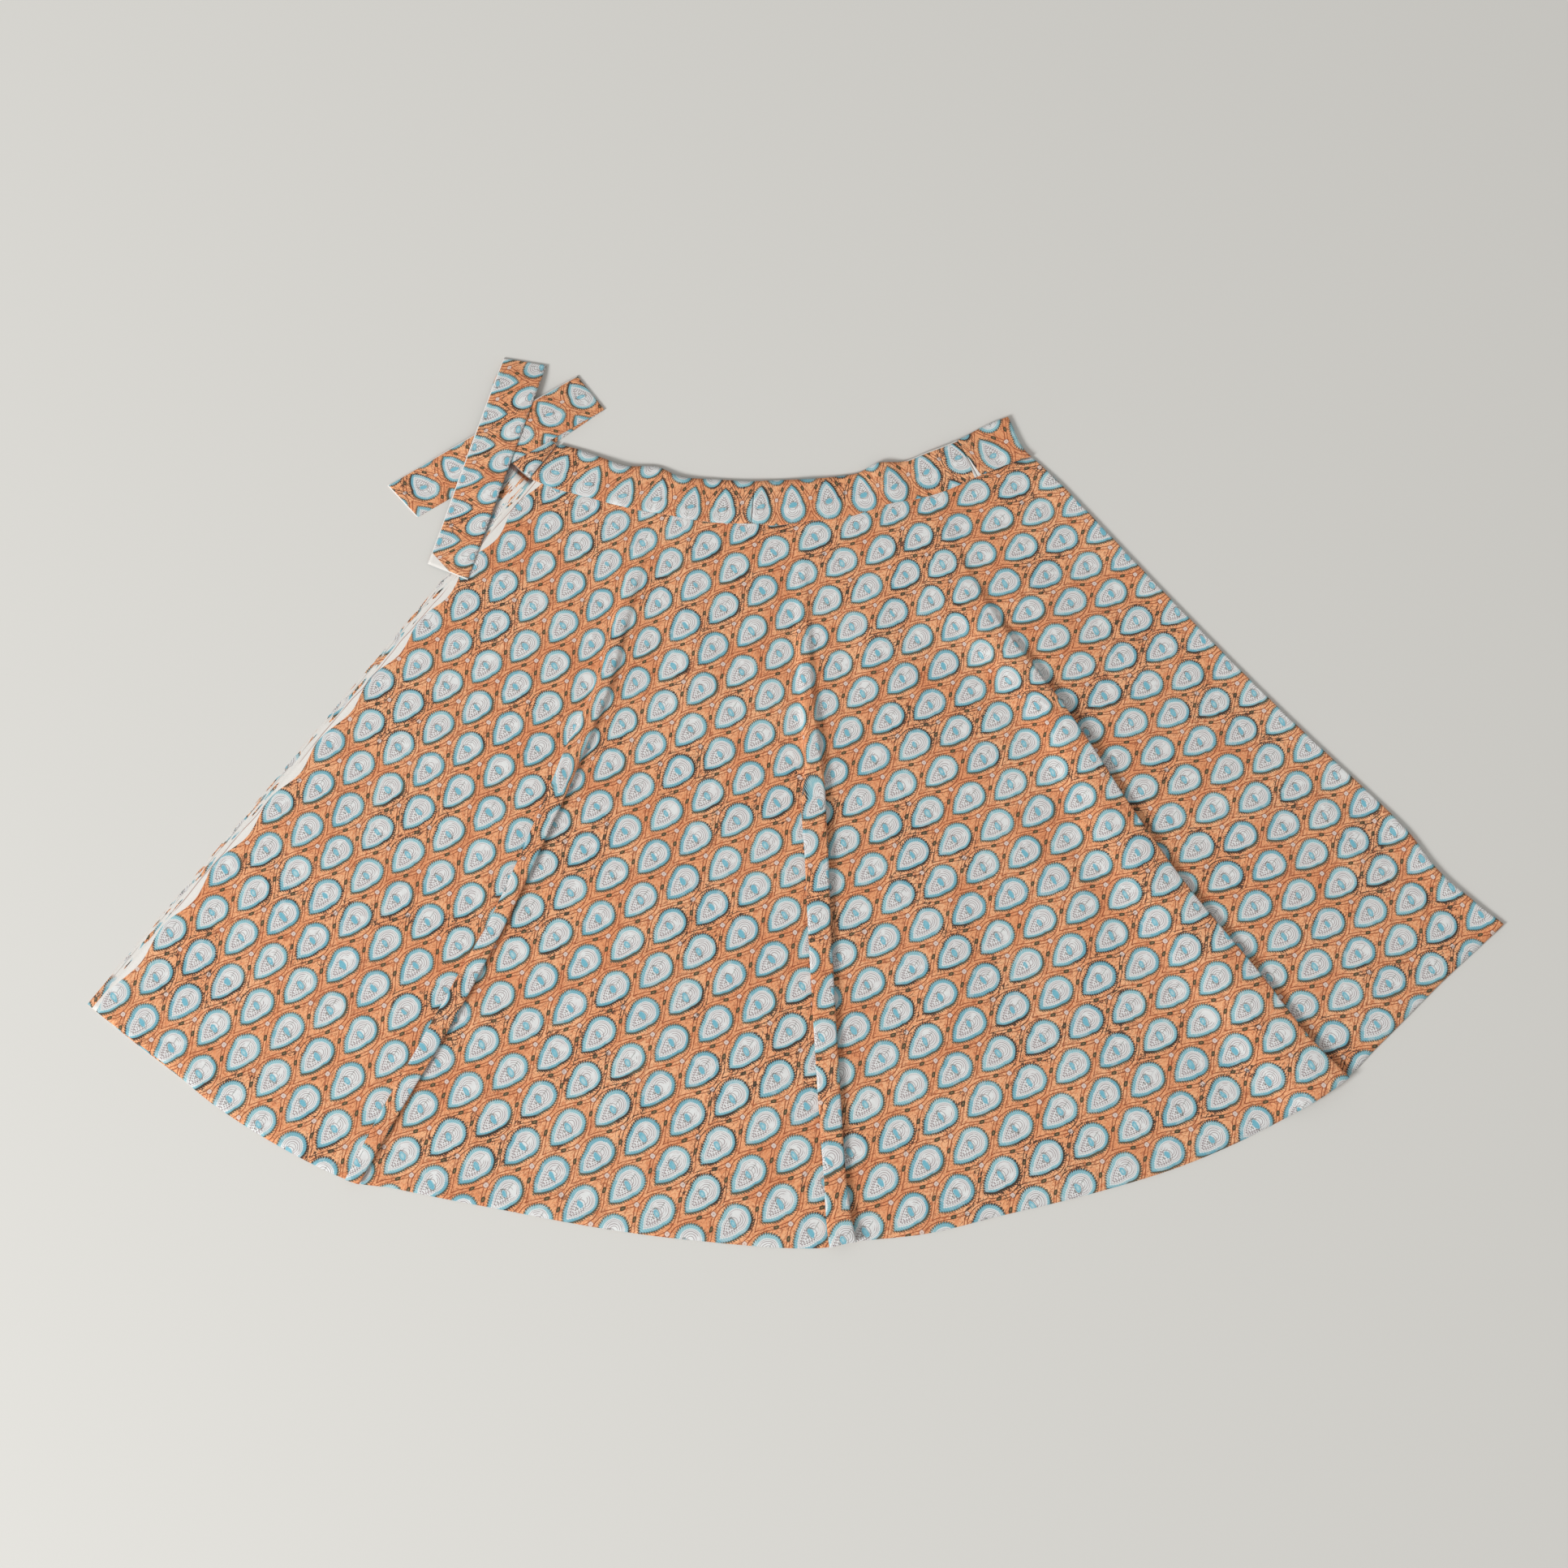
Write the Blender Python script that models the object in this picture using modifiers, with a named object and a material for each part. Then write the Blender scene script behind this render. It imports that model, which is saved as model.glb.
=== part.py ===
"""Wrap skirt of printed cotton, laid flat and folded in half along its right side.

The panel is half a disc of cloth with its straight edges on the selvedge. Laid out it is
two quarter sectors on each other: the back lies on the surface and the front lies on it,
with three large folds. The waistband is cut in pieces, and each of its two ends runs on
into a tie that is folded back over itself.

Metres, +Z up, +X to the right and +Y towards the waist. The origin is the middle of the
underside's box. Tables are in millimetres and degrees.
"""

import math
from bisect import bisect_right
from collections import namedtuple

import bpy
from mathutils import Matrix, Vector

MM = 0.001

# Driving sizes
CLOTH_WALL = 1.0 * MM
BAND_WALL = 1.6 * MM
TIE_WALL = 1.0 * MM
SEAM_GAP = 0.3 * MM
TIE_WIDTH = 45.0 * MM
BAND_LAP = 6.0 * MM
FRONT_EDGE_INSET = 6.5 * MM
FOLD_UNDERLAP = 8.0 * MM

# The straight edges of the laid panel point to the apex, and angles start at the left edge
APEX = Vector((-0.0162, 0.6562))
LEFT_EDGE_BEARING = 39.93

# The angles over which the front's edge comes out from under its band
LAP_END_ANGLE = 78.0
LAP_FADE = 4.0

# Heights of the middle of each wall
BACK_MIDDLE = CLOTH_WALL / 2
FRONT_MIDDLE = 1.5 * CLOTH_WALL + SEAM_GAP
BAND_TOP_EDGE_MIDDLE = CLOTH_WALL + SEAM_GAP + BAND_WALL / 2
BAND_SEAM_MIDDLE = FRONT_MIDDLE + CLOTH_WALL / 2 + SEAM_GAP + BAND_WALL / 2

# How finely the sheets are divided
PANEL_ROWS = 24
BACK_COLUMNS = 26
BAND_ROWS = 3
TURN_STEPS = 4
RAMP_STEPS = 5

HemRow = namedtuple("HemRow", "angle radius back_inset")
HEM = [
    HemRow(0.0, 1129.5, 0.0),
    HemRow(5.0, 1130.0, -1.5),
    HemRow(8.6, 1138.0, 2.0),
    HemRow(14.4, 1143.5, 6.0),
    HemRow(17.2, 1142.5, 8.0),
    HemRow(19.0, 1133.5, 5.0),
    HemRow(25.6, 1119.0, 3.0),
    HemRow(35.0, 1117.0, 3.0),
    HemRow(42.2, 1122.5, 6.0),
    HemRow(43.7, 1117.5, 5.0),
    HemRow(48.0, 1117.0, 3.0),
    HemRow(52.0, 1112.0, 3.0),
    HemRow(57.0, 1113.5, 3.0),
    HemRow(62.4, 1118.0, 3.0),
    HemRow(68.0, 1118.5, 4.0),
    HemRow(72.0, 1115.0, 5.0),
    HemRow(74.4, 1105.0, 4.0),
    HemRow(79.3, 1091.5, 2.0),
    HemRow(84.0, 1089.0, 2.0),
]

WaistRow = namedtuple("WaistRow", "angle seam_radius top_radius pucker")
WAIST = [
    WaistRow(0.0, 411.0, 364.0, 0.4),
    WaistRow(4.4, 402.0, 353.0, 0.3),
    WaistRow(8.7, 392.0, 347.0, 1.6),
    WaistRow(12.0, 386.5, 343.0, 2.2),
    WaistRow(16.8, 379.5, 330.0, 0.3),
    WaistRow(21.5, 373.3, 331.0, 1.8),
    WaistRow(28.0, 369.5, 324.0, 0.4),
    WaistRow(35.5, 364.5, 320.0, 1.2),
    WaistRow(39.0, 365.5, 318.0, 0.2),
    WaistRow(45.1, 362.0, 318.0, 1.5),
    WaistRow(51.3, 363.5, 320.0, 0.4),
    WaistRow(54.8, 362.0, 321.0, 0.8),
    WaistRow(58.8, 361.5, 317.0, 3.2),
    WaistRow(63.4, 367.4, 325.0, 0.5),
    WaistRow(67.9, 372.0, 327.0, 1.4),
    WaistRow(73.5, 376.5, 332.5, 2.4),
    WaistRow(79.5, 387.0, 338.0, 0.6),
    WaistRow(84.0, 402.0, 348.0, 0.4),
]

RightRow = namedtuple("RightRow", "radius edge puff")
RIGHT_FOLD = [
    RightRow(345.0, 83.5, 1.2),
    RightRow(383.0, 81.8, 1.2),
    RightRow(401.0, 82.0, 1.5),
    RightRow(438.0, 82.4, 2.5),
    RightRow(592.0, 82.7, 1.8),
    RightRow(751.0, 83.1, 2.2),
    RightRow(905.0, 83.7, 2.6),
    RightRow(950.0, 83.75, 4.0),
    RightRow(1000.0, 83.45, 5.0),
    RightRow(1048.0, 83.7, 3.5),
    RightRow(1090.0, 84.03, 2.6),
]

# A ridge rises, leans out over both sides once its lift passes a right angle, and is flat on top
RidgeRow = namedtuple("RidgeRow", "radius edge lift low_turn top_turn flap top")
LEFT_RIDGE = [
    RidgeRow(382.0, 20.3, 1.0, 8.0, 8.0, 3.0, 4.0),
    RidgeRow(447.0, 21.2, 22.0, 7.0, 8.0, 3.0, 4.0),
    RidgeRow(500.0, 21.7, 40.0, 5.0, 6.0, 3.5, 4.0),
    RidgeRow(557.0, 22.0, 62.0, 3.5, 4.0, 3.5, 6.0),
    RidgeRow(640.0, 21.3, 90.0, 2.0, 3.0, 2.0, 14.0),
    RidgeRow(714.0, 20.6, 135.0, 1.2, 2.0, 3.0, 14.0),
    RidgeRow(756.0, 20.3, 160.0, 0.9, 2.0, 5.0, 12.8),
    RidgeRow(837.0, 19.75, 168.0, 0.8, 2.0, 5.0, 12.5),
    RidgeRow(878.0, 19.4, 170.0, 0.8, 2.0, 6.4, 15.5),
    RidgeRow(965.0, 18.65, 170.0, 0.8, 2.0, 6.8, 16.2),
    RidgeRow(1059.0, 17.8, 170.0, 0.8, 2.0, 5.5, 13.6),
    RidgeRow(1145.0, 17.25, 165.0, 0.8, 2.2, 4.0, 10.6),
]
MIDDLE_RIDGE = [
    RidgeRow(372.0, 44.2, 1.0, 9.0, 9.0, 3.0, 4.0),
    RidgeRow(471.0, 44.3, 25.0, 7.0, 8.0, 3.0, 4.0),
    RidgeRow(537.0, 44.3, 45.0, 5.0, 5.0, 4.0, 4.0),
    RidgeRow(612.0, 44.3, 85.0, 2.5, 3.5, 2.5, 10.0),
    RidgeRow(652.0, 44.1, 120.0, 1.2, 2.2, 3.0, 21.0),
    RidgeRow(708.0, 44.0, 155.0, 0.9, 2.2, 6.0, 20.0),
    RidgeRow(790.0, 43.8, 170.0, 0.8, 2.0, 8.0, 19.5),
    RidgeRow(940.0, 43.7, 170.0, 0.8, 2.0, 8.0, 19.3),
    RidgeRow(1049.0, 43.7, 170.0, 0.8, 2.0, 7.5, 18.4),
    RidgeRow(1100.0, 43.9, 168.0, 0.8, 2.3, 9.0, 22.0),
    RidgeRow(1122.0, 44.1, 168.0, 0.8, 2.5, 9.5, 24.0),
]

# The pleat's cloth ramps up, turns over its edge, runs back underneath and turns again
PleatRow = namedtuple("PleatRow", "radius edge turn low_turn top_turn flap ramp")
RIGHT_PLEAT = [
    PleatRow(378.0, 66.0, 1.0, 8.0, 8.0, 4.0, 40.0),
    PleatRow(436.0, 66.2, 14.0, 7.0, 7.0, 5.0, 40.0),
    PleatRow(514.0, 66.9, 35.0, 4.0, 5.0, 6.0, 40.0),
    PleatRow(566.0, 67.6, 60.0, 2.5, 3.0, 5.0, 40.0),
    PleatRow(612.0, 68.0, 95.0, 1.4, 2.2, 4.0, 40.0),
    PleatRow(654.0, 68.4, 140.0, 0.9, 1.6, 7.0, 40.0),
    PleatRow(693.0, 68.7, 165.0, 0.8, 1.5, 12.0, 45.0),
    PleatRow(748.0, 69.0, 173.0, 0.8, 1.5, 16.0, 50.0),
    PleatRow(847.0, 69.7, 175.0, 0.8, 1.5, 20.0, 55.0),
    PleatRow(969.0, 70.95, 175.0, 0.8, 1.5, 23.0, 60.0),
    PleatRow(1054.0, 71.5, 175.0, 0.8, 1.6, 25.0, 60.0),
    PleatRow(1118.0, 72.25, 174.0, 0.8, 2.0, 26.0, 60.0),
]

# The cloth on top of the pleat is flat for a little more than the flap that turns under it
PLEAT_FLAT = 4.0 * MM

# The side fold: the length of the soft rise beside it, and the ends of the back clear of it
SIDE_RISE = 25.0 * MM
BACK_CLEARANCE = 1.5 * SEAM_GAP
BAND_BACK_CLEARANCE = 4 * SEAM_GAP

# Columns between the folds, from the left edge to the right one
FRONT_SECTION_COLUMNS = (6, 7, 6, 3)

# The waistband's pieces, by the angles of their ends at the top edge and at the seam
BandPiece = namedtuple("BandPiece", "name start_top start_seam end_top end_seam columns")
BAND_PIECES = [
    BandPiece("waistband_left", 0.6, 0.4, 35.2, 35.2, 26),
    BandPiece("waistband_middle", 35.28, 35.28, 73.9, 73.3, 30),
]
BAND_RIGHT_START = (74.05, 73.75)
BAND_RIGHT_COLUMNS = 7
BAND_RIGHT_PUFF = 1.2 * MM
BAND_PUCKER_FADE = 0.8

# The side fold's angles where the band crosses it, and where its height is taken
BAND_FOLD_TOP_ANGLE = 83.0
BAND_FOLD_SEAM_ANGLE = 82.0
BAND_FOLD_START_ANGLE = 80.0

# The band behind starts beside the lower tie and shows less than the front one at the top
BAND_BACK_START = 0.3
BAND_BACK_INSET = 2.0 * MM

# Each tie leaves the band's end, is folded twice and ends free: its centre line and heights
TieRun = namedtuple("TieRun", "x y lean heights")
TIE_ROOT = (-263.6, 358.3)
LOWER_TIE = [
    TieRun(-289.0, 379.4, 0.0, [0.5, 0.5]),
    TieRun(-215.1, 429.3, 7.0, [1.8, 1.8, 1.8, 1.2, 0.7, 0.6]),
    TieRun(
        -411.8,
        316.2,
        13.0,
        [2.1, 3.4, 5.2, 5.7, 5.7, 5.7, 5.7, 5.7, 5.4, 4.4, 2.8, 1.4, 0.7, 0.6, 0.6],
    ),
]
UPPER_TIE = [
    TieRun(-309.2, 396.2, 0.0, [3.1, 3.1, 3.1]),
    TieRun(-283.2, 461.2, 11.6, [4.4, 4.4, 4.4, 4.3, 2.8, 1.1, 0.6]),
    TieRun(
        -363.8,
        242.3,
        -1.8,
        [2.3, 5.9, 6.9, 7.0, 7.0, 7.0, 7.0, 7.0, 7.0, 6.8, 6.0, 4.8, 3.8, 3.2, 3.1, 3.1, 3.1],
    ),
]
TIE_ACROSS = 3

Finish = namedtuple("Finish", "name colour roughness")
PRINTED_COTTON = Finish("printed_cotton", (0.74, 0.42, 0.22), 0.85)
BAND_COTTON = Finish("waistband_cotton", (0.70, 0.39, 0.20), 0.85)
TIE_COTTON = Finish("tie_cotton", (0.76, 0.45, 0.25), 0.85)


def smooth_value(table, key, column, at):
    """The column's value where the key column is `at`, on a smooth curve through the rows."""
    keys = [getattr(row, key) for row in table]
    values = [getattr(row, column) for row in table]
    at = min(max(at, keys[0]), keys[-1])
    i = min(bisect_right(keys, at) - 1, len(keys) - 2)

    def slope(k):
        low = max(k - 1, 0)
        high = min(k + 1, len(keys) - 1)
        return (values[high] - values[low]) / (keys[high] - keys[low])

    width = keys[i + 1] - keys[i]
    t = (at - keys[i]) / width
    start = (1 + 2 * t) * (1 - t) ** 2 * values[i] + t * (1 - t) ** 2 * width * slope(i)
    end = t * t * (3 - 2 * t) * values[i + 1] - t * t * (1 - t) * width * slope(i + 1)
    return start + end


def straight_value(table, key, column, at):
    """The column's value where the key column is `at`, on straight lines between the rows."""
    keys = [getattr(row, key) for row in table]
    values = [getattr(row, column) for row in table]
    at = min(max(at, keys[0]), keys[-1])
    i = min(bisect_right(keys, at) - 1, len(keys) - 2)
    t = (at - keys[i]) / (keys[i + 1] - keys[i])
    return values[i] + t * (values[i + 1] - values[i])


def row_at(table, radius):
    """A fold's row at a radius in metres: a smooth course, and straight changes of section."""
    at = radius / MM
    found = {name: straight_value(table, "radius", name, at) for name in table[0]._fields}
    found["edge"] = smooth_value(table, "radius", "edge", at)
    return type(table[0])(**found)


def hem_radius(angle):
    return smooth_value(HEM, "angle", "radius", angle) * MM


def seam_radius(angle):
    return smooth_value(WAIST, "angle", "seam_radius", angle) * MM


def band_top_radius(angle):
    return smooth_value(WAIST, "angle", "top_radius", angle) * MM


def band_lap(angle):
    """How far the front runs in under its band: not at the side fold, where both roll down."""
    t = min(max((LAP_END_ANGLE - angle) / LAP_FADE, 0), 1)
    return t * BAND_LAP - (1 - t) * 2 * SEAM_GAP


def place(radius, angle, height):
    """A point from its radius about the apex, its angle from the left edge and its height."""
    bearing = math.radians(angle - LEFT_EDGE_BEARING)
    x = APEX.x + radius * math.sin(bearing)
    y = APEX.y - radius * math.cos(bearing)
    return Vector((x, y, height))


class Section:
    """A fold's cross-section, drawn as a path of turns and straight runs in x and z."""

    def __init__(self):
        self.points = [(0.0, 0.0)]
        self.heading = 0.0

    def forward(self, length, steps=1):
        for _ in range(steps):
            x, z = self.points[-1]
            x += length / steps * math.cos(self.heading)
            z += length / steps * math.sin(self.heading)
            self.points.append((x, z))

    def turn(self, degrees, radius, steps=TURN_STEPS):
        step = math.radians(degrees) / steps
        chord = 2 * radius * math.sin(abs(step) / 2)
        for _ in range(steps):
            self.heading += step / 2
            self.forward(chord)
            self.heading += step / 2

    def ramp(self, length, rise):
        """A soft rise, level at both ends."""
        x, z = self.points[-1]
        for k in range(1, RAMP_STEPS + 1):
            t = k / RAMP_STEPS
            self.points.append((x + length * t, z + rise * t * t * (3 - 2 * t)))

    def from_right(self):
        """The points with x measured from the section's rightmost point."""
        right = max(x for x, _ in self.points)
        return [(x - right, z) for x, z in self.points]


def ridge_section(row):
    section = Section()
    section.turn(row.lift, row.low_turn * MM)
    section.forward(row.flap * MM)
    section.turn(-row.lift, row.top_turn * MM)
    section.forward(row.top * MM, 3)
    section.turn(-row.lift, row.top_turn * MM)
    section.forward(row.flap * MM)
    section.turn(row.lift, row.low_turn * MM)
    return section.from_right()


def pleat_section(row):
    turn = math.radians(row.turn)
    turned = (row.low_turn + row.top_turn) * (1 - math.cos(turn))
    height = (turned + row.flap * math.sin(turn)) * MM
    section = Section()
    section.ramp(row.ramp * MM, height)
    section.forward(row.flap * MM + PLEAT_FLAT, 2)
    section.turn(-row.turn, row.top_turn * MM)
    section.forward(row.flap * MM, 2)
    section.turn(row.turn, row.low_turn * MM)
    return section.from_right()


def rolled_edge(middle, puff, wall, lap):
    """The side fold's section: a soft rise, a half turn down and a short run back underneath."""
    turn_radius = (middle + puff - wall / 2) / 2
    section = Section()
    section.ramp(SIDE_RISE, puff)
    section.turn(-180, turn_radius, TURN_STEPS + 2)
    section.forward(lap)
    return section.from_right()


def rolled_edge_inset(middle, puff, wall, lap):
    """How far inside the outline the side fold's underlap ends."""
    return wall / 2 + (middle + puff - wall / 2) / 2 + lap


def settle(radius_of, table):
    """The radius at which a row of cloth crosses a fold."""
    angle = table[0].edge
    radius = radius_of(angle)
    for _ in range(4):
        angle = smooth_value(table, "radius", "edge", radius / MM)
        radius = radius_of(angle)
    return radius


def front_row(t):
    """The front's points across the panel, from the left edge to the underlap, at t of its length."""

    def radius_of(angle):
        inner = seam_radius(angle) - band_lap(angle)
        return inner + t * (hem_radius(angle) - inner)

    crossings = []
    folds = ((LEFT_RIDGE, ridge_section), (MIDDLE_RIDGE, ridge_section), (RIGHT_PLEAT, pleat_section))
    for table, section_of in folds:
        radius = settle(radius_of, table)
        row = row_at(table, radius)
        crossings.append([(row.edge + math.degrees(x / radius), z) for x, z in section_of(row)])
    radius = settle(radius_of, RIGHT_FOLD)
    row = row_at(RIGHT_FOLD, radius)
    edge = row.edge - math.degrees(CLOTH_WALL / 2 / radius)
    rolled = rolled_edge(FRONT_MIDDLE, row.puff * MM, CLOTH_WALL, FOLD_UNDERLAP)
    crossings.append([(edge + math.degrees(x / radius), z) for x, z in rolled])

    start = math.degrees(FRONT_EDGE_INSET / radius_of(0))
    path = [(start, 0.0)]
    for crossing, columns in zip(crossings, FRONT_SECTION_COLUMNS):
        left = path[-1][0]
        right = crossing[0][0]
        path += [(left + (right - left) * k / columns, 0.0) for k in range(1, columns)]
        path += crossing
    return [place(radius_of(angle), angle, FRONT_MIDDLE + z) for angle, z in path]


def back_row(t):
    """The back's points across the panel, at t of its length."""

    def radius_of(angle):
        inner = seam_radius(angle) + SEAM_GAP
        outer = hem_radius(angle) - smooth_value(HEM, "angle", "back_inset", angle) * MM
        return inner + t * (outer - inner)

    radius = settle(radius_of, RIGHT_FOLD)
    row = row_at(RIGHT_FOLD, radius)
    inset = rolled_edge_inset(FRONT_MIDDLE, row.puff * MM, CLOTH_WALL, FOLD_UNDERLAP)
    end = row.edge - math.degrees((inset + BACK_CLEARANCE) / radius)
    angles = [end * k / BACK_COLUMNS for k in range(BACK_COLUMNS + 1)]
    return [place(radius_of(angle), angle, BACK_MIDDLE) for angle in angles]


def band_height(angle, across):
    """The front band's middle: lowest at its top edge, and puckered between the two edges."""
    level = BAND_TOP_EDGE_MIDDLE + across * (BAND_SEAM_MIDDLE - BAND_TOP_EDGE_MIDDLE)
    pucker = smooth_value(WAIST, "angle", "pucker", angle) * MM
    return level + pucker * (1 - BAND_PUCKER_FADE * across)


def band_row(piece, across):
    start = piece.start_top + across * (piece.start_seam - piece.start_top)
    end = piece.end_top + across * (piece.end_seam - piece.end_top)
    row = []
    for k in range(piece.columns + 1):
        angle = start + (end - start) * k / piece.columns
        top = band_top_radius(angle)
        radius = top + across * (seam_radius(angle) - top)
        row.append(place(radius, angle, band_height(angle, across)))
    return row


def band_fold(across):
    """The radius and the angle at which the side fold crosses the band."""
    top = band_top_radius(BAND_FOLD_TOP_ANGLE)
    radius = top + across * (seam_radius(BAND_FOLD_SEAM_ANGLE) - top)
    return radius, smooth_value(RIGHT_FOLD, "radius", "edge", radius / MM)


def band_right_row(across):
    """The right piece of the band, rolled down at the side fold as the panel is."""
    start = BAND_RIGHT_START[0] + across * (BAND_RIGHT_START[1] - BAND_RIGHT_START[0])
    radius, edge = band_fold(across)
    edge -= math.degrees(BAND_WALL / 2 / radius)
    middle = band_height(BAND_FOLD_START_ANGLE, across)
    rolled = rolled_edge(middle, BAND_RIGHT_PUFF, BAND_WALL, FOLD_UNDERLAP)
    rolled = [(edge + math.degrees(x / radius), middle + z) for x, z in rolled]
    path = []
    for k in range(BAND_RIGHT_COLUMNS):
        angle = start + (rolled[0][0] - start) * k / BAND_RIGHT_COLUMNS
        t = k / BAND_RIGHT_COLUMNS
        path.append((angle, (1 - t) * band_height(angle, across) + t * middle))
    row = []
    for angle, height in path + rolled:
        top = band_top_radius(angle)
        row.append(place(top + across * (seam_radius(angle) - top), angle, height))
    return row


def band_back_row(across):
    radius, edge = band_fold(across)
    middle = band_height(BAND_FOLD_START_ANGLE, across)
    inset = rolled_edge_inset(middle, BAND_RIGHT_PUFF, BAND_WALL, FOLD_UNDERLAP)
    end = edge - math.degrees((inset + BAND_BACK_CLEARANCE) / radius)
    row = []
    for k in range(BACK_COLUMNS + 1):
        angle = BAND_BACK_START + (end - BAND_BACK_START) * k / BACK_COLUMNS
        top = band_top_radius(angle) + BAND_BACK_INSET
        row.append(place(top + across * (seam_radius(angle) - top), angle, BACK_MIDDLE))
    return row


def tie_rows(runs):
    """Rows of points across a tie, from the band's end to its free end."""
    half = TIE_WIDTH / 2
    centres = [Vector(TIE_ROOT) * MM] + [Vector((run.x, run.y)) * MM for run in runs]
    headings = [(b - a).normalized() for a, b in zip(centres, centres[1:])]
    # The side of the strip that starts towards the waist stays on the same edge of the cloth
    sides = []
    side = Vector((headings[0].y, -headings[0].x))
    for k, heading in enumerate(headings):
        if k:
            side = -Vector((heading.y, -heading.x)) if k % 2 else Vector((heading.y, -heading.x))
        sides.append(side)

    def fold_line(k):
        """The two ends of the line on which the strip turns, or ends, at centre k."""
        side = sides[min(k, len(sides) - 1)]
        along = (headings[k - 1] + headings[k]).normalized() if k < len(headings) else side
        if along.dot(side) < 0:
            along = -along
        along = Matrix.Rotation(math.radians(runs[k - 1].lean), 2) @ along
        reach = half / along.dot(side)
        return centres[k] + along * reach, centres[k] - along * reach

    lines = [(centres[0] + sides[0] * half, centres[0] - sides[0] * half)]
    lines += [fold_line(k) for k in range(1, len(centres))]

    rows = []
    for k, run in enumerate(runs):
        first, last = lines[k], lines[k + 1]
        stations = len(run.heights) - 1
        for j, height in enumerate(run.heights):
            t = j / stations
            a = first[0].lerp(last[0], t)
            b = first[1].lerp(last[1], t)
            rows.append((a, b, height * MM))
        if k + 1 < len(runs):
            rows += turn_rows(last, headings[k], run.heights[-1] * MM, runs[k + 1].heights[0] * MM)
    return [
        [Vector((*a.lerp(b, k / TIE_ACROSS), height)) for k in range(TIE_ACROSS + 1)]
        for a, b, height in rows
    ]


def turn_rows(line, heading, low, high):
    """The rows of the half turn between two runs that meet on a fold line."""
    out = Vector((line[1].y - line[0].y, line[0].x - line[1].x)).normalized()
    if out.dot(heading) < 0:
        out = -out
    radius = (high - low) / 2
    rows = []
    for k in range(1, TURN_STEPS):
        turned = math.pi * k / TURN_STEPS
        shift = out * radius * math.sin(turned)
        rows.append((line[0] + shift, line[1] + shift, low + radius * (1 - math.cos(turned))))
    return rows


def cotton(finish):
    material = bpy.data.materials.new(finish.name)
    material.use_nodes = True
    shader = material.node_tree.nodes["Principled BSDF"]
    shader.inputs["Base Color"].default_value = (*finish.colour, 1.0)
    shader.inputs["Roughness"].default_value = finish.roughness
    shader.inputs["Metallic"].default_value = 0.0
    return material


def sheet(name, rows, wall, material, collection):
    """A cloth sheet through rows of points, given its wall with a Solidify modifier."""
    across = len(rows[0])
    points = [point for row in rows for point in row]
    faces = []
    for j in range(len(rows) - 1):
        for i in range(across - 1):
            corner = j * across + i
            faces.append((corner, corner + across, corner + across + 1, corner + 1))
    mesh = bpy.data.meshes.new(name)
    mesh.from_pydata(points, [], faces)
    mesh.materials.append(material)
    mesh.shade_smooth()
    cloth = bpy.data.objects.new(name, mesh)
    collection.objects.link(cloth)
    solidify = cloth.modifiers.new("wall", "SOLIDIFY")
    solidify.thickness = wall
    solidify.offset = 0.0
    solidify.use_even_offset = True
    solidify.use_quality_normals = True
    return cloth


def build():
    for old in list(bpy.data.objects):
        bpy.data.objects.remove(old, do_unlink=True)
    skirt = bpy.data.collections.new("wrap_skirt")
    bpy.context.scene.collection.children.link(skirt)

    printed = cotton(PRINTED_COTTON)
    band = cotton(BAND_COTTON)
    tie = cotton(TIE_COTTON)

    steps = [j / PANEL_ROWS for j in range(PANEL_ROWS + 1)]
    sheet("panel_back", [back_row(t) for t in steps], CLOTH_WALL, printed, skirt)
    sheet("panel_front", [front_row(t) for t in steps], CLOTH_WALL, printed, skirt)

    across = [j / BAND_ROWS for j in range(BAND_ROWS + 1)]
    sheet("waistband_back", [band_back_row(t) for t in across], CLOTH_WALL, band, skirt)
    for piece in BAND_PIECES:
        sheet(piece.name, [band_row(piece, t) for t in across], BAND_WALL, band, skirt)
    sheet("waistband_right", [band_right_row(t) for t in across], BAND_WALL, band, skirt)

    sheet("tie_lower", tie_rows(LOWER_TIE), TIE_WALL, tie, skirt)
    sheet("tie_upper", tie_rows(UPPER_TIE), TIE_WALL, tie, skirt)


build()
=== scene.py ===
"""Wrap skirt of block-printed cotton, laid flat and folded in half: the shown pieces.

Each cloth piece lies on its solid's form, with finer steps, a thinner wall and soft creases.
Metres, +Z up, +X to the right and +Y towards the waist. Tables are in millimetres and degrees.
"""

import math
from bisect import bisect_right
from collections import namedtuple

import bpy
from mathutils import Matrix, Vector


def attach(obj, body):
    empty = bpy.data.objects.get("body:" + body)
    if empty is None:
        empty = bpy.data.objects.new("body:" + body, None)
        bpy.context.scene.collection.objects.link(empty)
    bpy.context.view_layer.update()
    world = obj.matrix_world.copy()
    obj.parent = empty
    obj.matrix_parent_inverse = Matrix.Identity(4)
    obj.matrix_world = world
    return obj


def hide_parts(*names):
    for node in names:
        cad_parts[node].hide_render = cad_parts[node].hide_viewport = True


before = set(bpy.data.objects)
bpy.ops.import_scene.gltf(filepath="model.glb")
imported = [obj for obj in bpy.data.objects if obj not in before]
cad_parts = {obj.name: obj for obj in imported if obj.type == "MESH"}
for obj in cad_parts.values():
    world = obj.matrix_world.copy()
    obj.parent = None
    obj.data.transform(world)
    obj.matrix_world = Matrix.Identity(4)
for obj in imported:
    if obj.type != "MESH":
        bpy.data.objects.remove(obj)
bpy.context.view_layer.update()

MM = 0.001


def table_of(columns, *rows):
    """A list of rows whose columns have names."""
    row_type = namedtuple("Row", columns)
    return [row_type(*values) for values in rows]


def between(a, b, t):
    """The value at t of the way from a to b."""
    return a + t * (b - a)


def clamped(value, low=0, high=1):
    return min(max(value, low), high)


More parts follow.
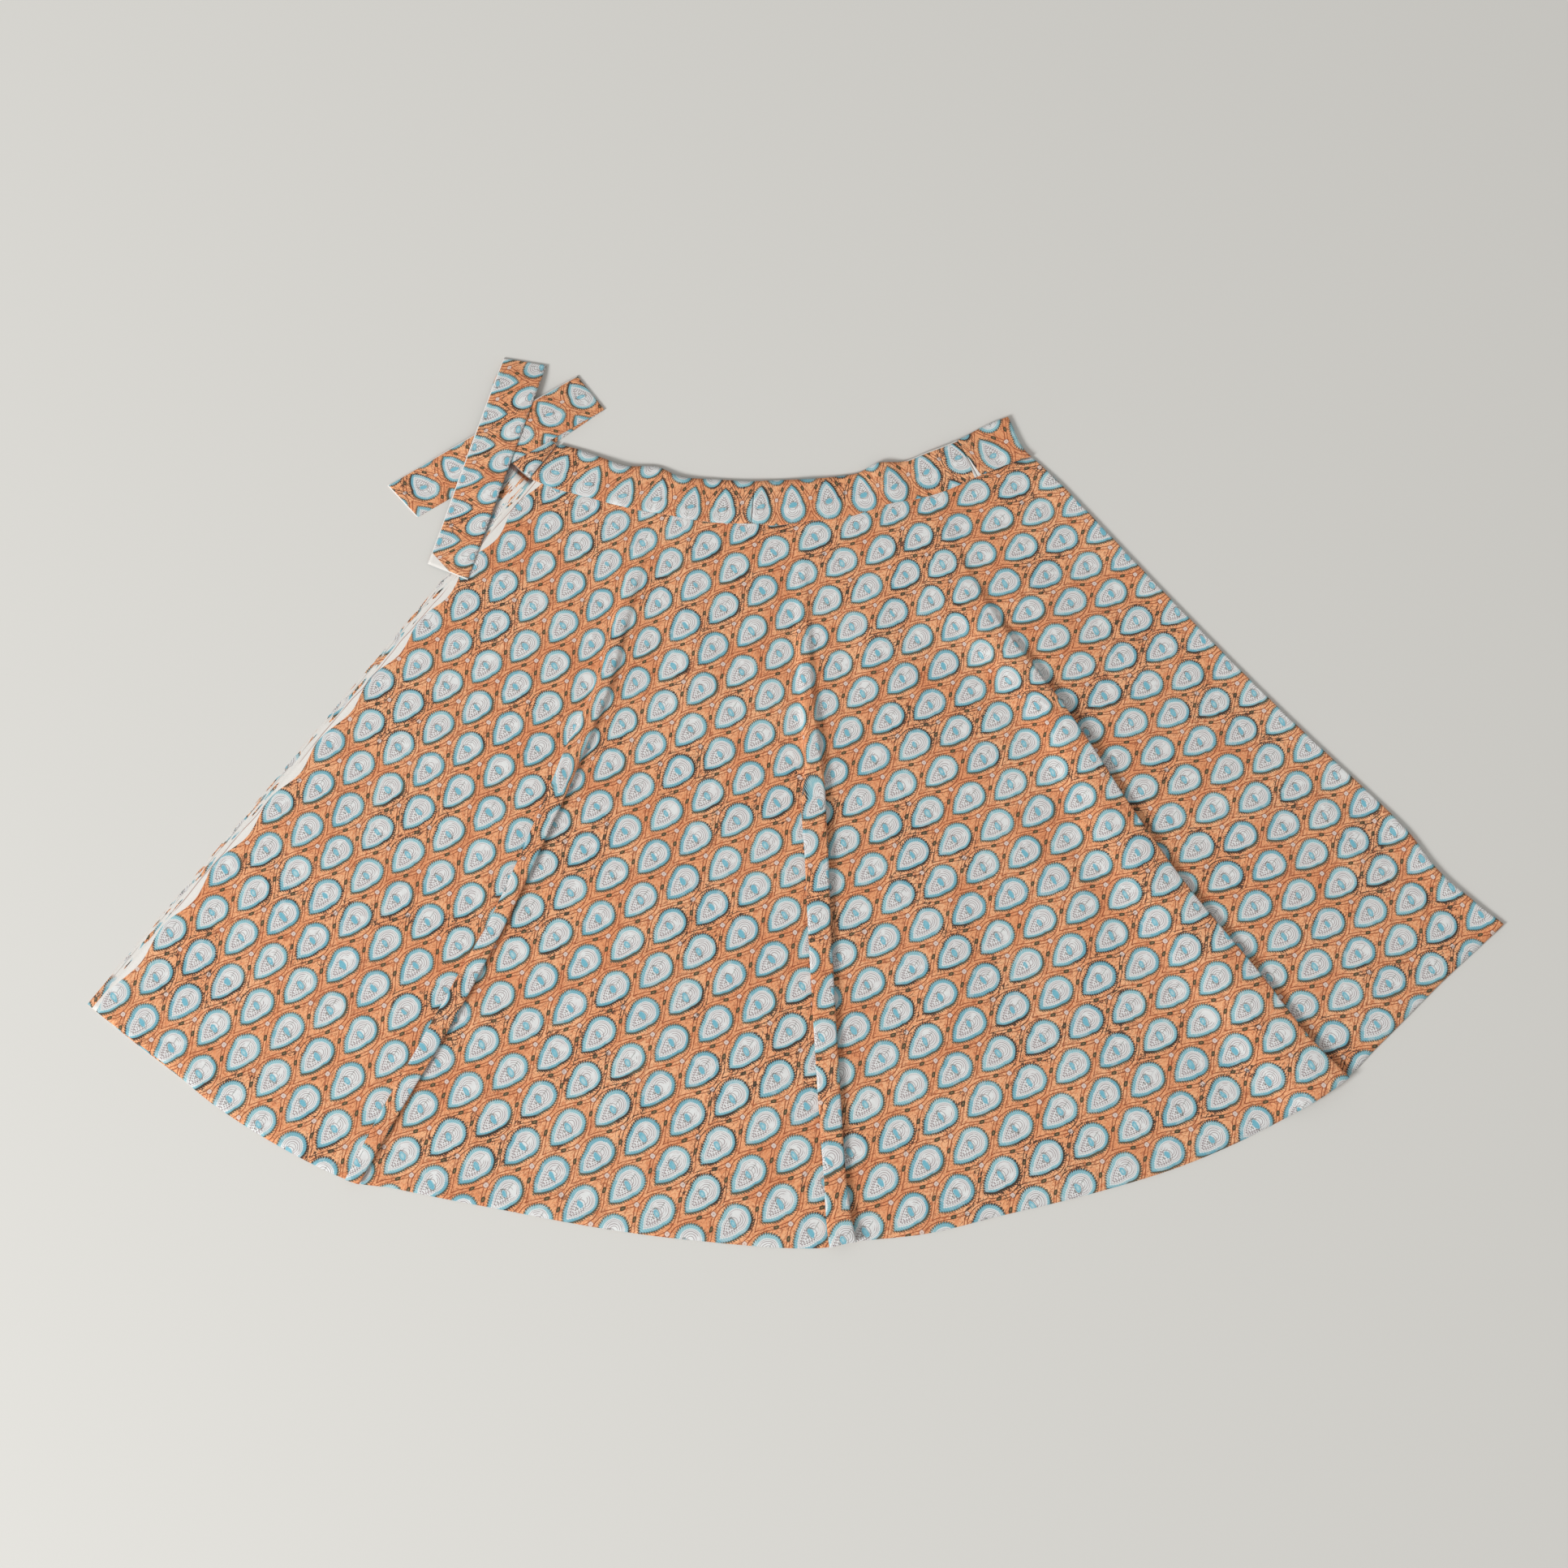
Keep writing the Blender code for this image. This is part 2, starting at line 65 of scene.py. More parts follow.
def soft_step(t):
    """From 0 to 1 as t does, level at both ends."""
    t = clamped(t)
    return t * t * (3 - 2 * t)


def shares(steps):
    """The shares of a length at the ends of its equal steps, from 0 to 1."""
    return [k / steps for k in range(steps + 1)]


# Driving sizes
CLOTH_WALL = 1 * MM
BAND_WALL = 1.6 * MM
SEAM_GAP = 0.3 * MM
TIE_WIDTH = 45 * MM
BAND_LAP = 6 * MM
FRONT_EDGE_INSET = 6.5 * MM
FOLD_UNDERLAP = 8 * MM

# The straight edges of the laid panel point to the apex, and angles start at the left edge
APEX = Vector((-0.0162, 0.6562))
LEFT_EDGE_BEARING = 39.93

# The angles over which the front's edge comes out from under its band
LAP_END_ANGLE = 78
LAP_FADE = 4

# Heights of the middle of each wall
BACK_MIDDLE = CLOTH_WALL / 2
FRONT_MIDDLE = 1.5 * CLOTH_WALL + SEAM_GAP
BAND_TOP_EDGE_MIDDLE = CLOTH_WALL + SEAM_GAP + BAND_WALL / 2
BAND_SEAM_MIDDLE = FRONT_MIDDLE + CLOTH_WALL / 2 + SEAM_GAP + BAND_WALL / 2

# How finely the sheets are divided
PANEL_ROWS = 132
BACK_COLUMNS = 48
BAND_ROWS = 10
TURN_STEPS = 6
RAMP_STEPS = 14
TOP_STEPS = 3
FLAP_STEPS = 2
SETTLE_ROUNDS = 4

HEM = table_of(
    "angle radius back_inset",
    (0, 1129.5, 0), (5, 1130, -1.5), (8.6, 1138, 2), (14.4, 1143.5, 6), (17.2, 1142.5, 8),
    (19, 1133.5, 5), (25.6, 1119, 3), (35, 1117, 3), (42.2, 1122.5, 6), (43.7, 1117.5, 5),
    (48, 1117, 3), (52, 1112, 3), (57, 1113.5, 3), (62.4, 1118, 3), (68, 1118.5, 4), (72, 1115, 5),
    (74.4, 1105, 4), (79.3, 1091.5, 2), (84, 1089, 2),
)

WAIST = table_of(
    "angle seam_radius top_radius pucker",
    (0, 411, 364, 0.4), (4.4, 402, 353, 0.3), (8.7, 392, 347, 1.6), (12, 386.5, 343, 2.2),
    (16.8, 379.5, 330, 0.3), (21.5, 373.3, 331, 1.8), (28, 369.5, 324, 0.4),
    (35.5, 364.5, 320, 1.2), (39, 365.5, 318, 0.2), (45.1, 362, 318, 1.5), (51.3, 363.5, 320, 0.4),
    (54.8, 362, 321, 0.8), (58.8, 361.5, 317, 3.2), (63.4, 367.4, 325, 0.5), (67.9, 372, 327, 1.4),
    (73.5, 376.5, 332.5, 2.4), (79.5, 387, 338, 0.6), (84, 402, 348, 0.4),
)

RIGHT_FOLD = table_of(
    "radius edge puff",
    (345, 83.5, 1.2), (383, 81.8, 1.2), (401, 82, 1.5), (438, 82.4, 2.5), (592, 82.7, 1.8),
    (751, 83.1, 2.2), (905, 83.7, 2.6), (950, 83.75, 4), (1000, 83.45, 5), (1048, 83.7, 3.5),
    (1090, 84.03, 2.6),
)

# A ridge rises, leans out over both sides once its lift passes a right angle, and is flat on top
RIDGE_COLUMNS = "radius edge lift low_turn top_turn flap top"
LEFT_RIDGE = table_of(
    RIDGE_COLUMNS,
    (382, 20.3, 1, 8, 8, 3, 4), (447, 21.2, 22, 7, 8, 3, 4), (500, 21.7, 40, 5, 6, 3.5, 4),
    (557, 22, 62, 3.5, 4, 3.5, 6), (640, 21.3, 90, 2, 3, 2, 14), (714, 20.6, 135, 1.2, 2, 3, 14),
    (756, 20.3, 160, 0.9, 2, 5, 12.8), (837, 19.75, 168, 0.8, 2, 5, 12.5),
    (878, 19.4, 170, 0.8, 2, 6.4, 15.5), (965, 18.65, 170, 0.8, 2, 6.8, 16.2),
    (1059, 17.8, 170, 0.8, 2, 5.5, 13.6), (1145, 17.25, 165, 0.8, 2.2, 4, 10.6),
)
MIDDLE_RIDGE = table_of(
    RIDGE_COLUMNS,
    (372, 44.2, 1, 9, 9, 3, 4), (471, 44.3, 25, 7, 8, 3, 4), (537, 44.3, 45, 5, 5, 4, 4),
    (612, 44.3, 85, 2.5, 3.5, 2.5, 10), (652, 44.1, 120, 1.2, 2.2, 3, 21),
    (708, 44, 155, 0.9, 2.2, 6, 20), (790, 43.8, 170, 0.8, 2, 8, 19.5),
    (940, 43.7, 170, 0.8, 2, 8, 19.3), (1049, 43.7, 170, 0.8, 2, 7.5, 18.4),
    (1100, 43.9, 168, 0.8, 2.3, 9, 22), (1122, 44.1, 168, 0.8, 2.5, 9.5, 24),
)

# The pleat's cloth ramps up, turns over its edge, runs back underneath and turns again
RIGHT_PLEAT = table_of(
    "radius edge turn low_turn top_turn flap ramp",
    (378, 66, 1, 8, 8, 4, 40), (436, 66.2, 14, 7, 7, 5, 40), (514, 66.9, 35, 4, 5, 6, 40),
    (566, 67.6, 60, 2.5, 3, 5, 40), (612, 68, 95, 1.4, 2.2, 4, 40),
    (654, 68.4, 140, 0.9, 1.6, 7, 40), (693, 68.7, 165, 0.8, 1.5, 12, 45),
    (748, 69, 173, 0.8, 1.5, 16, 50), (847, 69.7, 175, 0.8, 1.5, 20, 55),
    (969, 70.95, 175, 0.8, 1.5, 23, 60), (1054, 71.5, 175, 0.8, 1.6, 25, 60),
    (1118, 72.25, 174, 0.8, 2, 26, 60),
)

# The cloth on top of the pleat is flat for a little more than the flap that turns under it
PLEAT_FLAT = 4 * MM

# The side fold: the length of the soft rise beside it, and the ends of the back clear of it
SIDE_RISE = 25 * MM
BACK_CLEARANCE = 1.5 * SEAM_GAP
BAND_BACK_CLEARANCE = 4 * SEAM_GAP

# The back's corner comes out under the ties: how far round, from which radius and over what length
CORNER_ANGLE = 3.5
CORNER_FROM = 411 * MM
CORNER_LENGTH = 75 * MM

# Columns between the folds, from the left edge to the right one
FRONT_SECTION_COLUMNS = (44, 48, 44, 18)

# The waistband's pieces, by the angles of their ends at the top edge and at the seam
BAND_PIECES = table_of(
    "name start_top start_seam end_top end_seam columns",
    ("waistband_left", 0.6, 0.4, 35.2, 35.2, 104),
    ("waistband_middle", 35.28, 35.28, 73.9, 73.3, 116),
)
BAND_RIGHT_START = (73.95, 73.35)
BAND_RIGHT_COLUMNS = 24
BAND_RIGHT_PUFF = 1.2 * MM
BAND_PUCKER_FADE = 0.8

# The side fold's angles where the band crosses it, and where its height is taken
BAND_FOLD_TOP_ANGLE = 83
BAND_FOLD_SEAM_ANGLE = 82
BAND_FOLD_START_ANGLE = 80

# The band behind starts beside the lower tie and shows less than the front one at the top
BAND_BACK_START = 0.3
BAND_BACK_INSET = 2 * MM

# Each tie leaves the band's end, is folded twice and ends free: its centre line and heights
TIE_COLUMNS = "x y lean heights"
TIE_ROOT = (-263.6, 358.3)
LOWER_TIE = table_of(
    TIE_COLUMNS,
    (-289, 379.4, 0, [0.5, 0.5]),
    (-215.1, 429.3, 7, [1.8, 1.8, 1.8, 1.2, 0.7, 0.6]),
    (-411.8, 316.2, 13, [2.1, 3.4, 5.2] + 5 * [5.7] + [5.4, 4.4, 2.8, 1.4, 0.7, 0.6, 0.6]),
)
UPPER_TIE = table_of(
    TIE_COLUMNS,
    (-309.2, 396.2, 0, [3.1, 3.1, 3.1]),
    (-283.2, 461.2, 11.6, [4.4, 4.4, 4.4, 4.3, 2.8, 1.1, 0.6]),
    (-363.8, 242.3, -1.8, [2.3, 5.9, 6.9] + 6 * [7] + [6.8, 6, 4.8, 3.8, 3.2, 3.1, 3.1, 3.1]),
)
TIE_ACROSS = 14


def span_at(table, key, column, at):
    """Both columns, the row before `at` in the key column, and the share of the span after it."""
    keys = [getattr(row, key) for row in table]
    values = [getattr(row, column) for row in table]
    at = clamped(at, keys[0], keys[-1])
    i = min(bisect_right(keys, at) - 1, len(keys) - 2)
    return keys, values, i, (at - keys[i]) / (keys[i + 1] - keys[i])


def smooth_value(table, key, column, at):
    """The column's value where the key column is `at`, on a smooth curve through the rows."""
    keys, values, i, t = span_at(table, key, column, at)

    def slope(k):
        low = max(k - 1, 0)
        high = min(k + 1, len(keys) - 1)
        return (values[high] - values[low]) / (keys[high] - keys[low])

    width = keys[i + 1] - keys[i]
    start = (1 + 2 * t) * (1 - t) ** 2 * values[i] + t * (1 - t) ** 2 * width * slope(i)
    end = t * t * (3 - 2 * t) * values[i + 1] - t * t * (1 - t) * width * slope(i + 1)
    return start + end


def straight_value(table, key, column, at):
    """The column's value where the key column is `at`, on straight lines between the rows."""
    _, values, i, t = span_at(table, key, column, at)
    return between(values[i], values[i + 1], t)


def row_at(table, radius):
    """A fold's row at a radius in metres: a smooth course, and straight changes of section."""
    at = radius / MM
    found = {name: straight_value(table, "radius", name, at) for name in table[0]._fields}
    found["edge"] = smooth_value(table, "radius", "edge", at)
    return type(table[0])(**found)


def hem_radius(angle, column="radius"):
    return smooth_value(HEM, "angle", column, angle) * MM


def seam_radius(angle, column="seam_radius"):
    return smooth_value(WAIST, "angle", column, angle) * MM


def band_top_radius(angle):
    return seam_radius(angle, "top_radius")


def band_lap(angle):
    """How far the front runs in under its band: not at the side fold, where both roll down."""
    t = clamped((LAP_END_ANGLE - angle) / LAP_FADE)
    return t * BAND_LAP - (1 - t) * 2 * SEAM_GAP


def place(radius, angle, height):
    """A point from its radius about the apex, its angle from the left edge and its height."""
    bearing = math.radians(angle - LEFT_EDGE_BEARING)
    x = APEX.x + radius * math.sin(bearing)
    y = APEX.y - radius * math.cos(bearing)
    return Vector((x, y, height))


class Section:
    """A fold's cross-section, drawn as a path of turns and straight runs in x and z."""

    def __init__(self):
        self.points = [(0, 0)]
        self.heading = 0

    def forward(self, length, steps=1):
        for _ in range(steps):
            x, z = self.points[-1]
            x += length / steps * math.cos(self.heading)
            z += length / steps * math.sin(self.heading)
            self.points.append((x, z))

    def turn(self, degrees, radius, steps=TURN_STEPS):
        step = math.radians(degrees) / steps
        chord = 2 * radius * math.sin(abs(step) / 2)
        for _ in range(steps):
            self.heading += step / 2
            self.forward(chord)
            self.heading += step / 2

    def ramp(self, length, rise):
        """A soft rise, level at both ends."""
        x, z = self.points[-1]
        for t in shares(RAMP_STEPS)[1:]:
            self.points.append((x + length * t, z + rise * soft_step(t)))

    def from_right(self):
        """The points with x measured from the section's rightmost point."""
        right = max(x for x, _ in self.points)
        return [(x - right, z) for x, z in self.points]


def ridge_section(row):
    section = Section()
    section.turn(row.lift, row.low_turn * MM)
    section.forward(row.flap * MM)
    section.turn(-row.lift, row.top_turn * MM)
    section.forward(row.top * MM, TOP_STEPS)
    section.turn(-row.lift, row.top_turn * MM)
    section.forward(row.flap * MM)
    section.turn(row.lift, row.low_turn * MM)
    return section.from_right()


def pleat_section(row):
    turn = math.radians(row.turn)
    turned = (row.low_turn + row.top_turn) * (1 - math.cos(turn))
    height = (turned + row.flap * math.sin(turn)) * MM
    section = Section()
    section.ramp(row.ramp * MM, height)
    section.forward(row.flap * MM + PLEAT_FLAT, FLAP_STEPS)
    section.turn(-row.turn, row.top_turn * MM)
    section.forward(row.flap * MM, FLAP_STEPS)
    section.turn(row.turn, row.low_turn * MM)
    return section.from_right()


def rolled_edge(middle, puff, wall, lap):
    """The side fold's section: a soft rise, a half turn down and a short run back underneath."""
    turn_radius = (middle + puff - wall / 2) / 2
    section = Section()
    section.ramp(SIDE_RISE, puff)
    section.turn(-180, turn_radius, TURN_STEPS + 2)
    section.forward(lap)
    return section.from_right()


def rolled_edge_inset(middle, puff, wall, lap):
    """How far inside the outline the side fold's underlap ends."""
    return wall / 2 + (middle + puff - wall / 2) / 2 + lap


def settle(radius_of, table):
    """The radius at which a row of cloth crosses a fold."""
    radius = radius_of(table[0].edge)
    for _ in range(SETTLE_ROUNDS):
        angle = smooth_value(table, "radius", "edge", radius / MM)
        radius = radius_of(angle)
    return radius


def back_row(t):
    """The back's points across the panel, at t of its length, with its corner out by the ties."""

    def radius_of(angle):
        inner = seam_radius(angle) + SEAM_GAP
        outer = hem_radius(angle) - hem_radius(angle, "back_inset")
        return between(inner, outer, t)

    radius = settle(radius_of, RIGHT_FOLD)
    row = row_at(RIGHT_FOLD, radius)
    inset = rolled_edge_inset(FRONT_MIDDLE, row.puff * MM, CLOTH_WALL, FOLD_UNDERLAP)
    end = row.edge - math.degrees((inset + BACK_CLEARANCE) / radius)
    start = -CORNER_ANGLE * clamped(1 - (radius_of(0) - CORNER_FROM) / CORNER_LENGTH)
    angles = [between(start, end, share) for share in shares(BACK_COLUMNS)]
    return [place(radius_of(angle), angle, BACK_MIDDLE) for angle in angles]


def band_height(angle, across):
    """The front band's middle: lowest at its top edge, and puckered between the two edges."""
    level = between(BAND_TOP_EDGE_MIDDLE, BAND_SEAM_MIDDLE, across)
    pucker = smooth_value(WAIST, "angle", "pucker", angle) * MM
    return level + pucker * (1 - BAND_PUCKER_FADE * across)


def band_radius(angle, across, inset=0):
    """A radius on the band, from its top edge at 0 across to its seam at 1."""
    return between(band_top_radius(angle) + inset, seam_radius(angle), across)


def band_row(piece, across):
    start = between(piece.start_top, piece.start_seam, across)
    end = between(piece.end_top, piece.end_seam, across)
    row = []
    for share in shares(piece.columns):
        angle = between(start, end, share)
        row.append(place(band_radius(angle, across), angle, band_height(angle, across)))
    return row


def band_fold(across):
    """The radius and the angle at which the side fold crosses the band."""
    top = band_top_radius(BAND_FOLD_TOP_ANGLE)
    radius = between(top, seam_radius(BAND_FOLD_SEAM_ANGLE), across)
    return radius, smooth_value(RIGHT_FOLD, "radius", "edge", radius / MM)


def band_right_row(across):
    """The right piece of the band, rolled down at the side fold as the panel is."""
    start = between(*BAND_RIGHT_START, across)
    radius, edge = band_fold(across)
    edge -= math.degrees(BAND_WALL / 2 / radius)
    middle = band_height(BAND_FOLD_START_ANGLE, across)
    rolled = rolled_edge(middle, BAND_RIGHT_PUFF, BAND_WALL, FOLD_UNDERLAP)
    rolled = [(edge + math.degrees(x / radius), middle + z) for x, z in rolled]
    path = []
    for share in shares(BAND_RIGHT_COLUMNS)[:-1]:
        angle = between(start, rolled[0][0], share)
        path.append((angle, between(band_height(angle, across), middle, share)))
    path += rolled
    return [place(band_radius(angle, across), angle, height) for angle, height in path]


def band_back_row(across):
    radius, edge = band_fold(across)
    middle = band_height(BAND_FOLD_START_ANGLE, across)
    inset = rolled_edge_inset(middle, BAND_RIGHT_PUFF, BAND_WALL, FOLD_UNDERLAP)
    end = edge - math.degrees((inset + BAND_BACK_CLEARANCE) / radius)
    row = []
    for share in shares(BACK_COLUMNS):
        angle = between(BAND_BACK_START, end, share)
        row.append(place(band_radius(angle, across, BAND_BACK_INSET), angle, BACK_MIDDLE))
    return row


def tie_rows(runs):
    """Rows of points across a tie, from the band's end to its free end."""
    half = TIE_WIDTH / 2
    centres = [Vector(TIE_ROOT) * MM] + [Vector((run.x, run.y)) * MM for run in runs]
    headings = [(b - a).normalized() for a, b in zip(centres, centres[1:])]
    # The side of the strip that starts towards the waist stays on the same edge of the cloth
    sides = []
    for k, heading in enumerate(headings):
        side = Vector((heading.y, -heading.x))
        sides.append(-side if k % 2 else side)

    def fold_line(k):
        """The two ends of the line on which the strip turns, or ends, at centre k."""
        side = sides[min(k, len(sides) - 1)]
        along = (headings[k - 1] + headings[k]).normalized() if k < len(headings) else side
        if along.dot(side) < 0:
            along = -along
        along = Matrix.Rotation(math.radians(runs[k - 1].lean), 2) @ along
        reach = half / along.dot(side)
        return centres[k] + along * reach, centres[k] - along * reach

    lines = [(centres[0] + sides[0] * half, centres[0] - sides[0] * half)]
    lines += [fold_line(k) for k in range(1, len(centres))]

    rows = []
    for k, run in enumerate(runs):
        first, last = lines[k], lines[k + 1]
        for t, height in zip(shares(len(run.heights) - 1), run.heights):
            rows.append((first[0].lerp(last[0], t), first[1].lerp(last[1], t), height * MM))
        if k + 1 < len(runs):
            rows += turn_rows(last, headings[k], run.heights[-1] * MM, runs[k + 1].heights[0] * MM)
    return [[Vector((*a.lerp(b, t), height)) for t in shares(TIE_ACROSS)] for a, b, height in rows]


def turn_rows(line, heading, low, high):
    """The rows of the half turn between two runs that meet on a fold line."""
    out = Vector((line[1].y - line[0].y, line[0].x - line[1].x)).normalized()
    if out.dot(heading) < 0:
        out = -out
    radius = (high - low) / 2
    rows = []
    for k in range(1, TURN_STEPS):
        turned = math.pi * k / TURN_STEPS
        shift = out * radius * math.sin(turned)
        rows.append((line[0] + shift, line[1] + shift, low + radius * (1 - math.cos(turned))))
    return rows


# The wall that shows
SHELL = 0.6 * MM
BAND_SHELL = 1.2 * MM

# The side fold that shows is this much of its solid's puff
SHOWN_PUFF = 0.55

# The print repeats in rows along a drop's axis and at a pitch across it
PRINT_ROW = 42.5 * MM
PRINT_PITCH = 40.5 * MM

# Where each part of the front lies on the print: rows and pitches, as quadratics of the place
MAP_REACH = 400
PRINT_MAPS = table_of(
    "x y rows pitches",
    (-416.4, -11.2, (-0.3459, 5.6083, 7.5493, -0.3938, 0.55, 0.6348),
     (-0.3847, 7.9468, -6.4135, 0.0653, 0.7228, -0.2459)),
    (-170.5, -80.9, (2.2206, 6.1183, 6.9354, -0.1142, 0.4101, 0.6142),
     (6.5069, 7.4163, -6.653, -0.0307, 0.7862, -0.3103)),
    (226.2, -66.4, (9.5108, 6.71, 6.9278, 0.1406, 0.8309, 0.374),
     (14.0173, 6.8813, -6.8304, -0.2478, 0.3744, -0.552)),
    (460.6, 32.7, (16.1204, 7.3567, 7.1777, 0.2114, 1.3693, 0.503),
     (16.1845, 6.4407, -7.2718, 0.8416, 1.3452, -0.3818)),
)

# How far the back's print is shifted across and along its drops
BACK_PRINT_OFF = Vector((-0.0078, -0.028))

# A fold turns sharp between these lifts; a soft one changes the print over this reach
SHARP_FROM_LIFT = 60
SHARP_AT_LIFT = 120
SOFT_PRINT_REACH = 55 * MM

# The band's drops stand in one row: the angle and the radius of each one's middle
BAND_DROPS = table_of(
    "angle radius",
    (2.7, 388.8), (8, 379.5), (13.7, 373.3), (18.9, 361.6), (24.8, 358.3), (30.1, 353.7),
    (36.6, 346.5), (42.1, 344.5), (48.5, 343.8), (54.7, 344.5), (60.2, 346.1), (66.3, 345.2),
    (72.2, 348.8), (77.2, 367.6), (83.5, 372),
)
BAND_PRINT_SCALE = 0.95

# Soft creases between the folds: two ends, the half width and the rise
CREASES = table_of(
    "x0 y0 x1 y1 width rise",
    (-205, 240, -330, -20, 34, 1.6), (-160, 250, -215, 60, 26, 1.2), (-95, 280, -120, 40, 30, 1.5),
    (-52, 275, -45, 120, 22, 1.1), (60, 275, 105, 60, 28, 1.4), (95, 290, 190, 150, 24, 1.3),
    (190, 300, 330, 90, 30, 1.5), (300, 330, 430, 160, 26, 1.3), (-430, 60, -560, -150, 40, 1.4),
    (-480, -60, -420, -230, 34, 1), (-120, -60, -210, -330, 42, 1.6),
    (-20, -120, -60, -400, 36, 1.2), (140, -20, 180, -330, 40, 1.5), (250, 20, 330, -260, 36, 1.3),
    (520, 90, 610, -90, 34, 1.5), (430, 60, 560, -140, 30, 1.2),
)

# Each fold, the column that gives its lean, and how far the print on its top is shifted
FOLDS = table_of(
    "table section_of leaning off_pitches off_rows",
    (LEFT_RIDGE, ridge_section, "lift", -0.333, 0.115),
    (MIDDLE_RIDGE, ridge_section, "lift", -0.475, 0.156),
    (RIGHT_PLEAT, pleat_section, "turn", 0, 0),
)

Crossing = namedtuple("Crossing", "angles heights runs change reach off")

# A crease fades out over this many half widths
CREASE_REACH = 2.5

# The front's parts between its folds are numbered from the left edge
LAST_PART = len(FOLDS)


def crossing_of(fold, radius):
    """A fold's points on one row, their distances along the cloth, and where the print changes."""
    row = row_at(fold.table, radius)
    section = fold.section_of(row)
    angles = [row.edge + math.degrees(x / radius) for x, _ in section]
    heights = [z for _, z in section]
    runs = [0]
    for (x0, z0), (x1, z1) in zip(section, section[1:]):
        runs.append(runs[-1] + math.hypot(x1 - x0, z1 - z0))
    lean = getattr(row, fold.leaning)
    low = row.low_turn * MM * math.radians(lean)
    top = row.top_turn * MM * math.radians(lean)
    flap = row.flap * MM
    hidden_end = runs[-1] - low / 2
    hidden_start = runs[-1] - low - flap - top / 2
    sharp = clamped((lean - SHARP_FROM_LIFT) / (SHARP_AT_LIFT - SHARP_FROM_LIFT))
    change = (1 - sharp) * runs[-1] / 2 + sharp * (hidden_start + hidden_end) / 2
    reach = (1 - sharp) * SOFT_PRINT_REACH + sharp * (hidden_end - hidden_start) / 2
    off = Vector((fold.off_pitches * PRINT_PITCH, fold.off_rows * PRINT_ROW)) * sharp
    return Crossing(angles, heights, runs, change, reach, off)


def print_at(region, point):
    """The place on the print of a point of a region, in metres across and along the drops."""
    where = PRINT_MAPS[region]
    x = (point[0] / MM - where.x) / MAP_REACH
    y = (point[1] / MM - where.y) / MAP_REACH
    terms = (1, x, y, x * x, x * y, y * y)
    rows = sum(a * b for a, b in zip(where.rows, terms))
    pitches = sum(a * b for a, b in zip(where.pitches, terms))
    return Vector((pitches * PRINT_PITCH, rows * PRINT_ROW))


def print_step(region, point, towards):
    """How the place on the print changes per metre from a point towards another."""
    course = Vector((towards[0] - point[0], towards[1] - point[1]))
    course.normalize()
    ahead = (point[0] + course.x * MM, point[1] + course.y * MM)
    return (print_at(region, ahead) - print_at(region, point)) / MM


def crease_height(point):
    total = 0
    x = point[0] / MM
    y = point[1] / MM
    for crease in CREASES:
        dx = crease.x1 - crease.x0
        dy = crease.y1 - crease.y0
        length = math.hypot(dx, dy)
        along = ((x - crease.x0) * dx + (y - crease.y0) * dy) / length / length
        if not 0 < along < 1:
            continue
        aside = abs((x - crease.x0) * dy - (y - crease.y0) * dx) / length / crease.width
        if aside < CREASE_REACH:
            total += crease.rise * math.exp(-aside * aside) * math.sin(math.pi * along) ** 2
    return total * MM


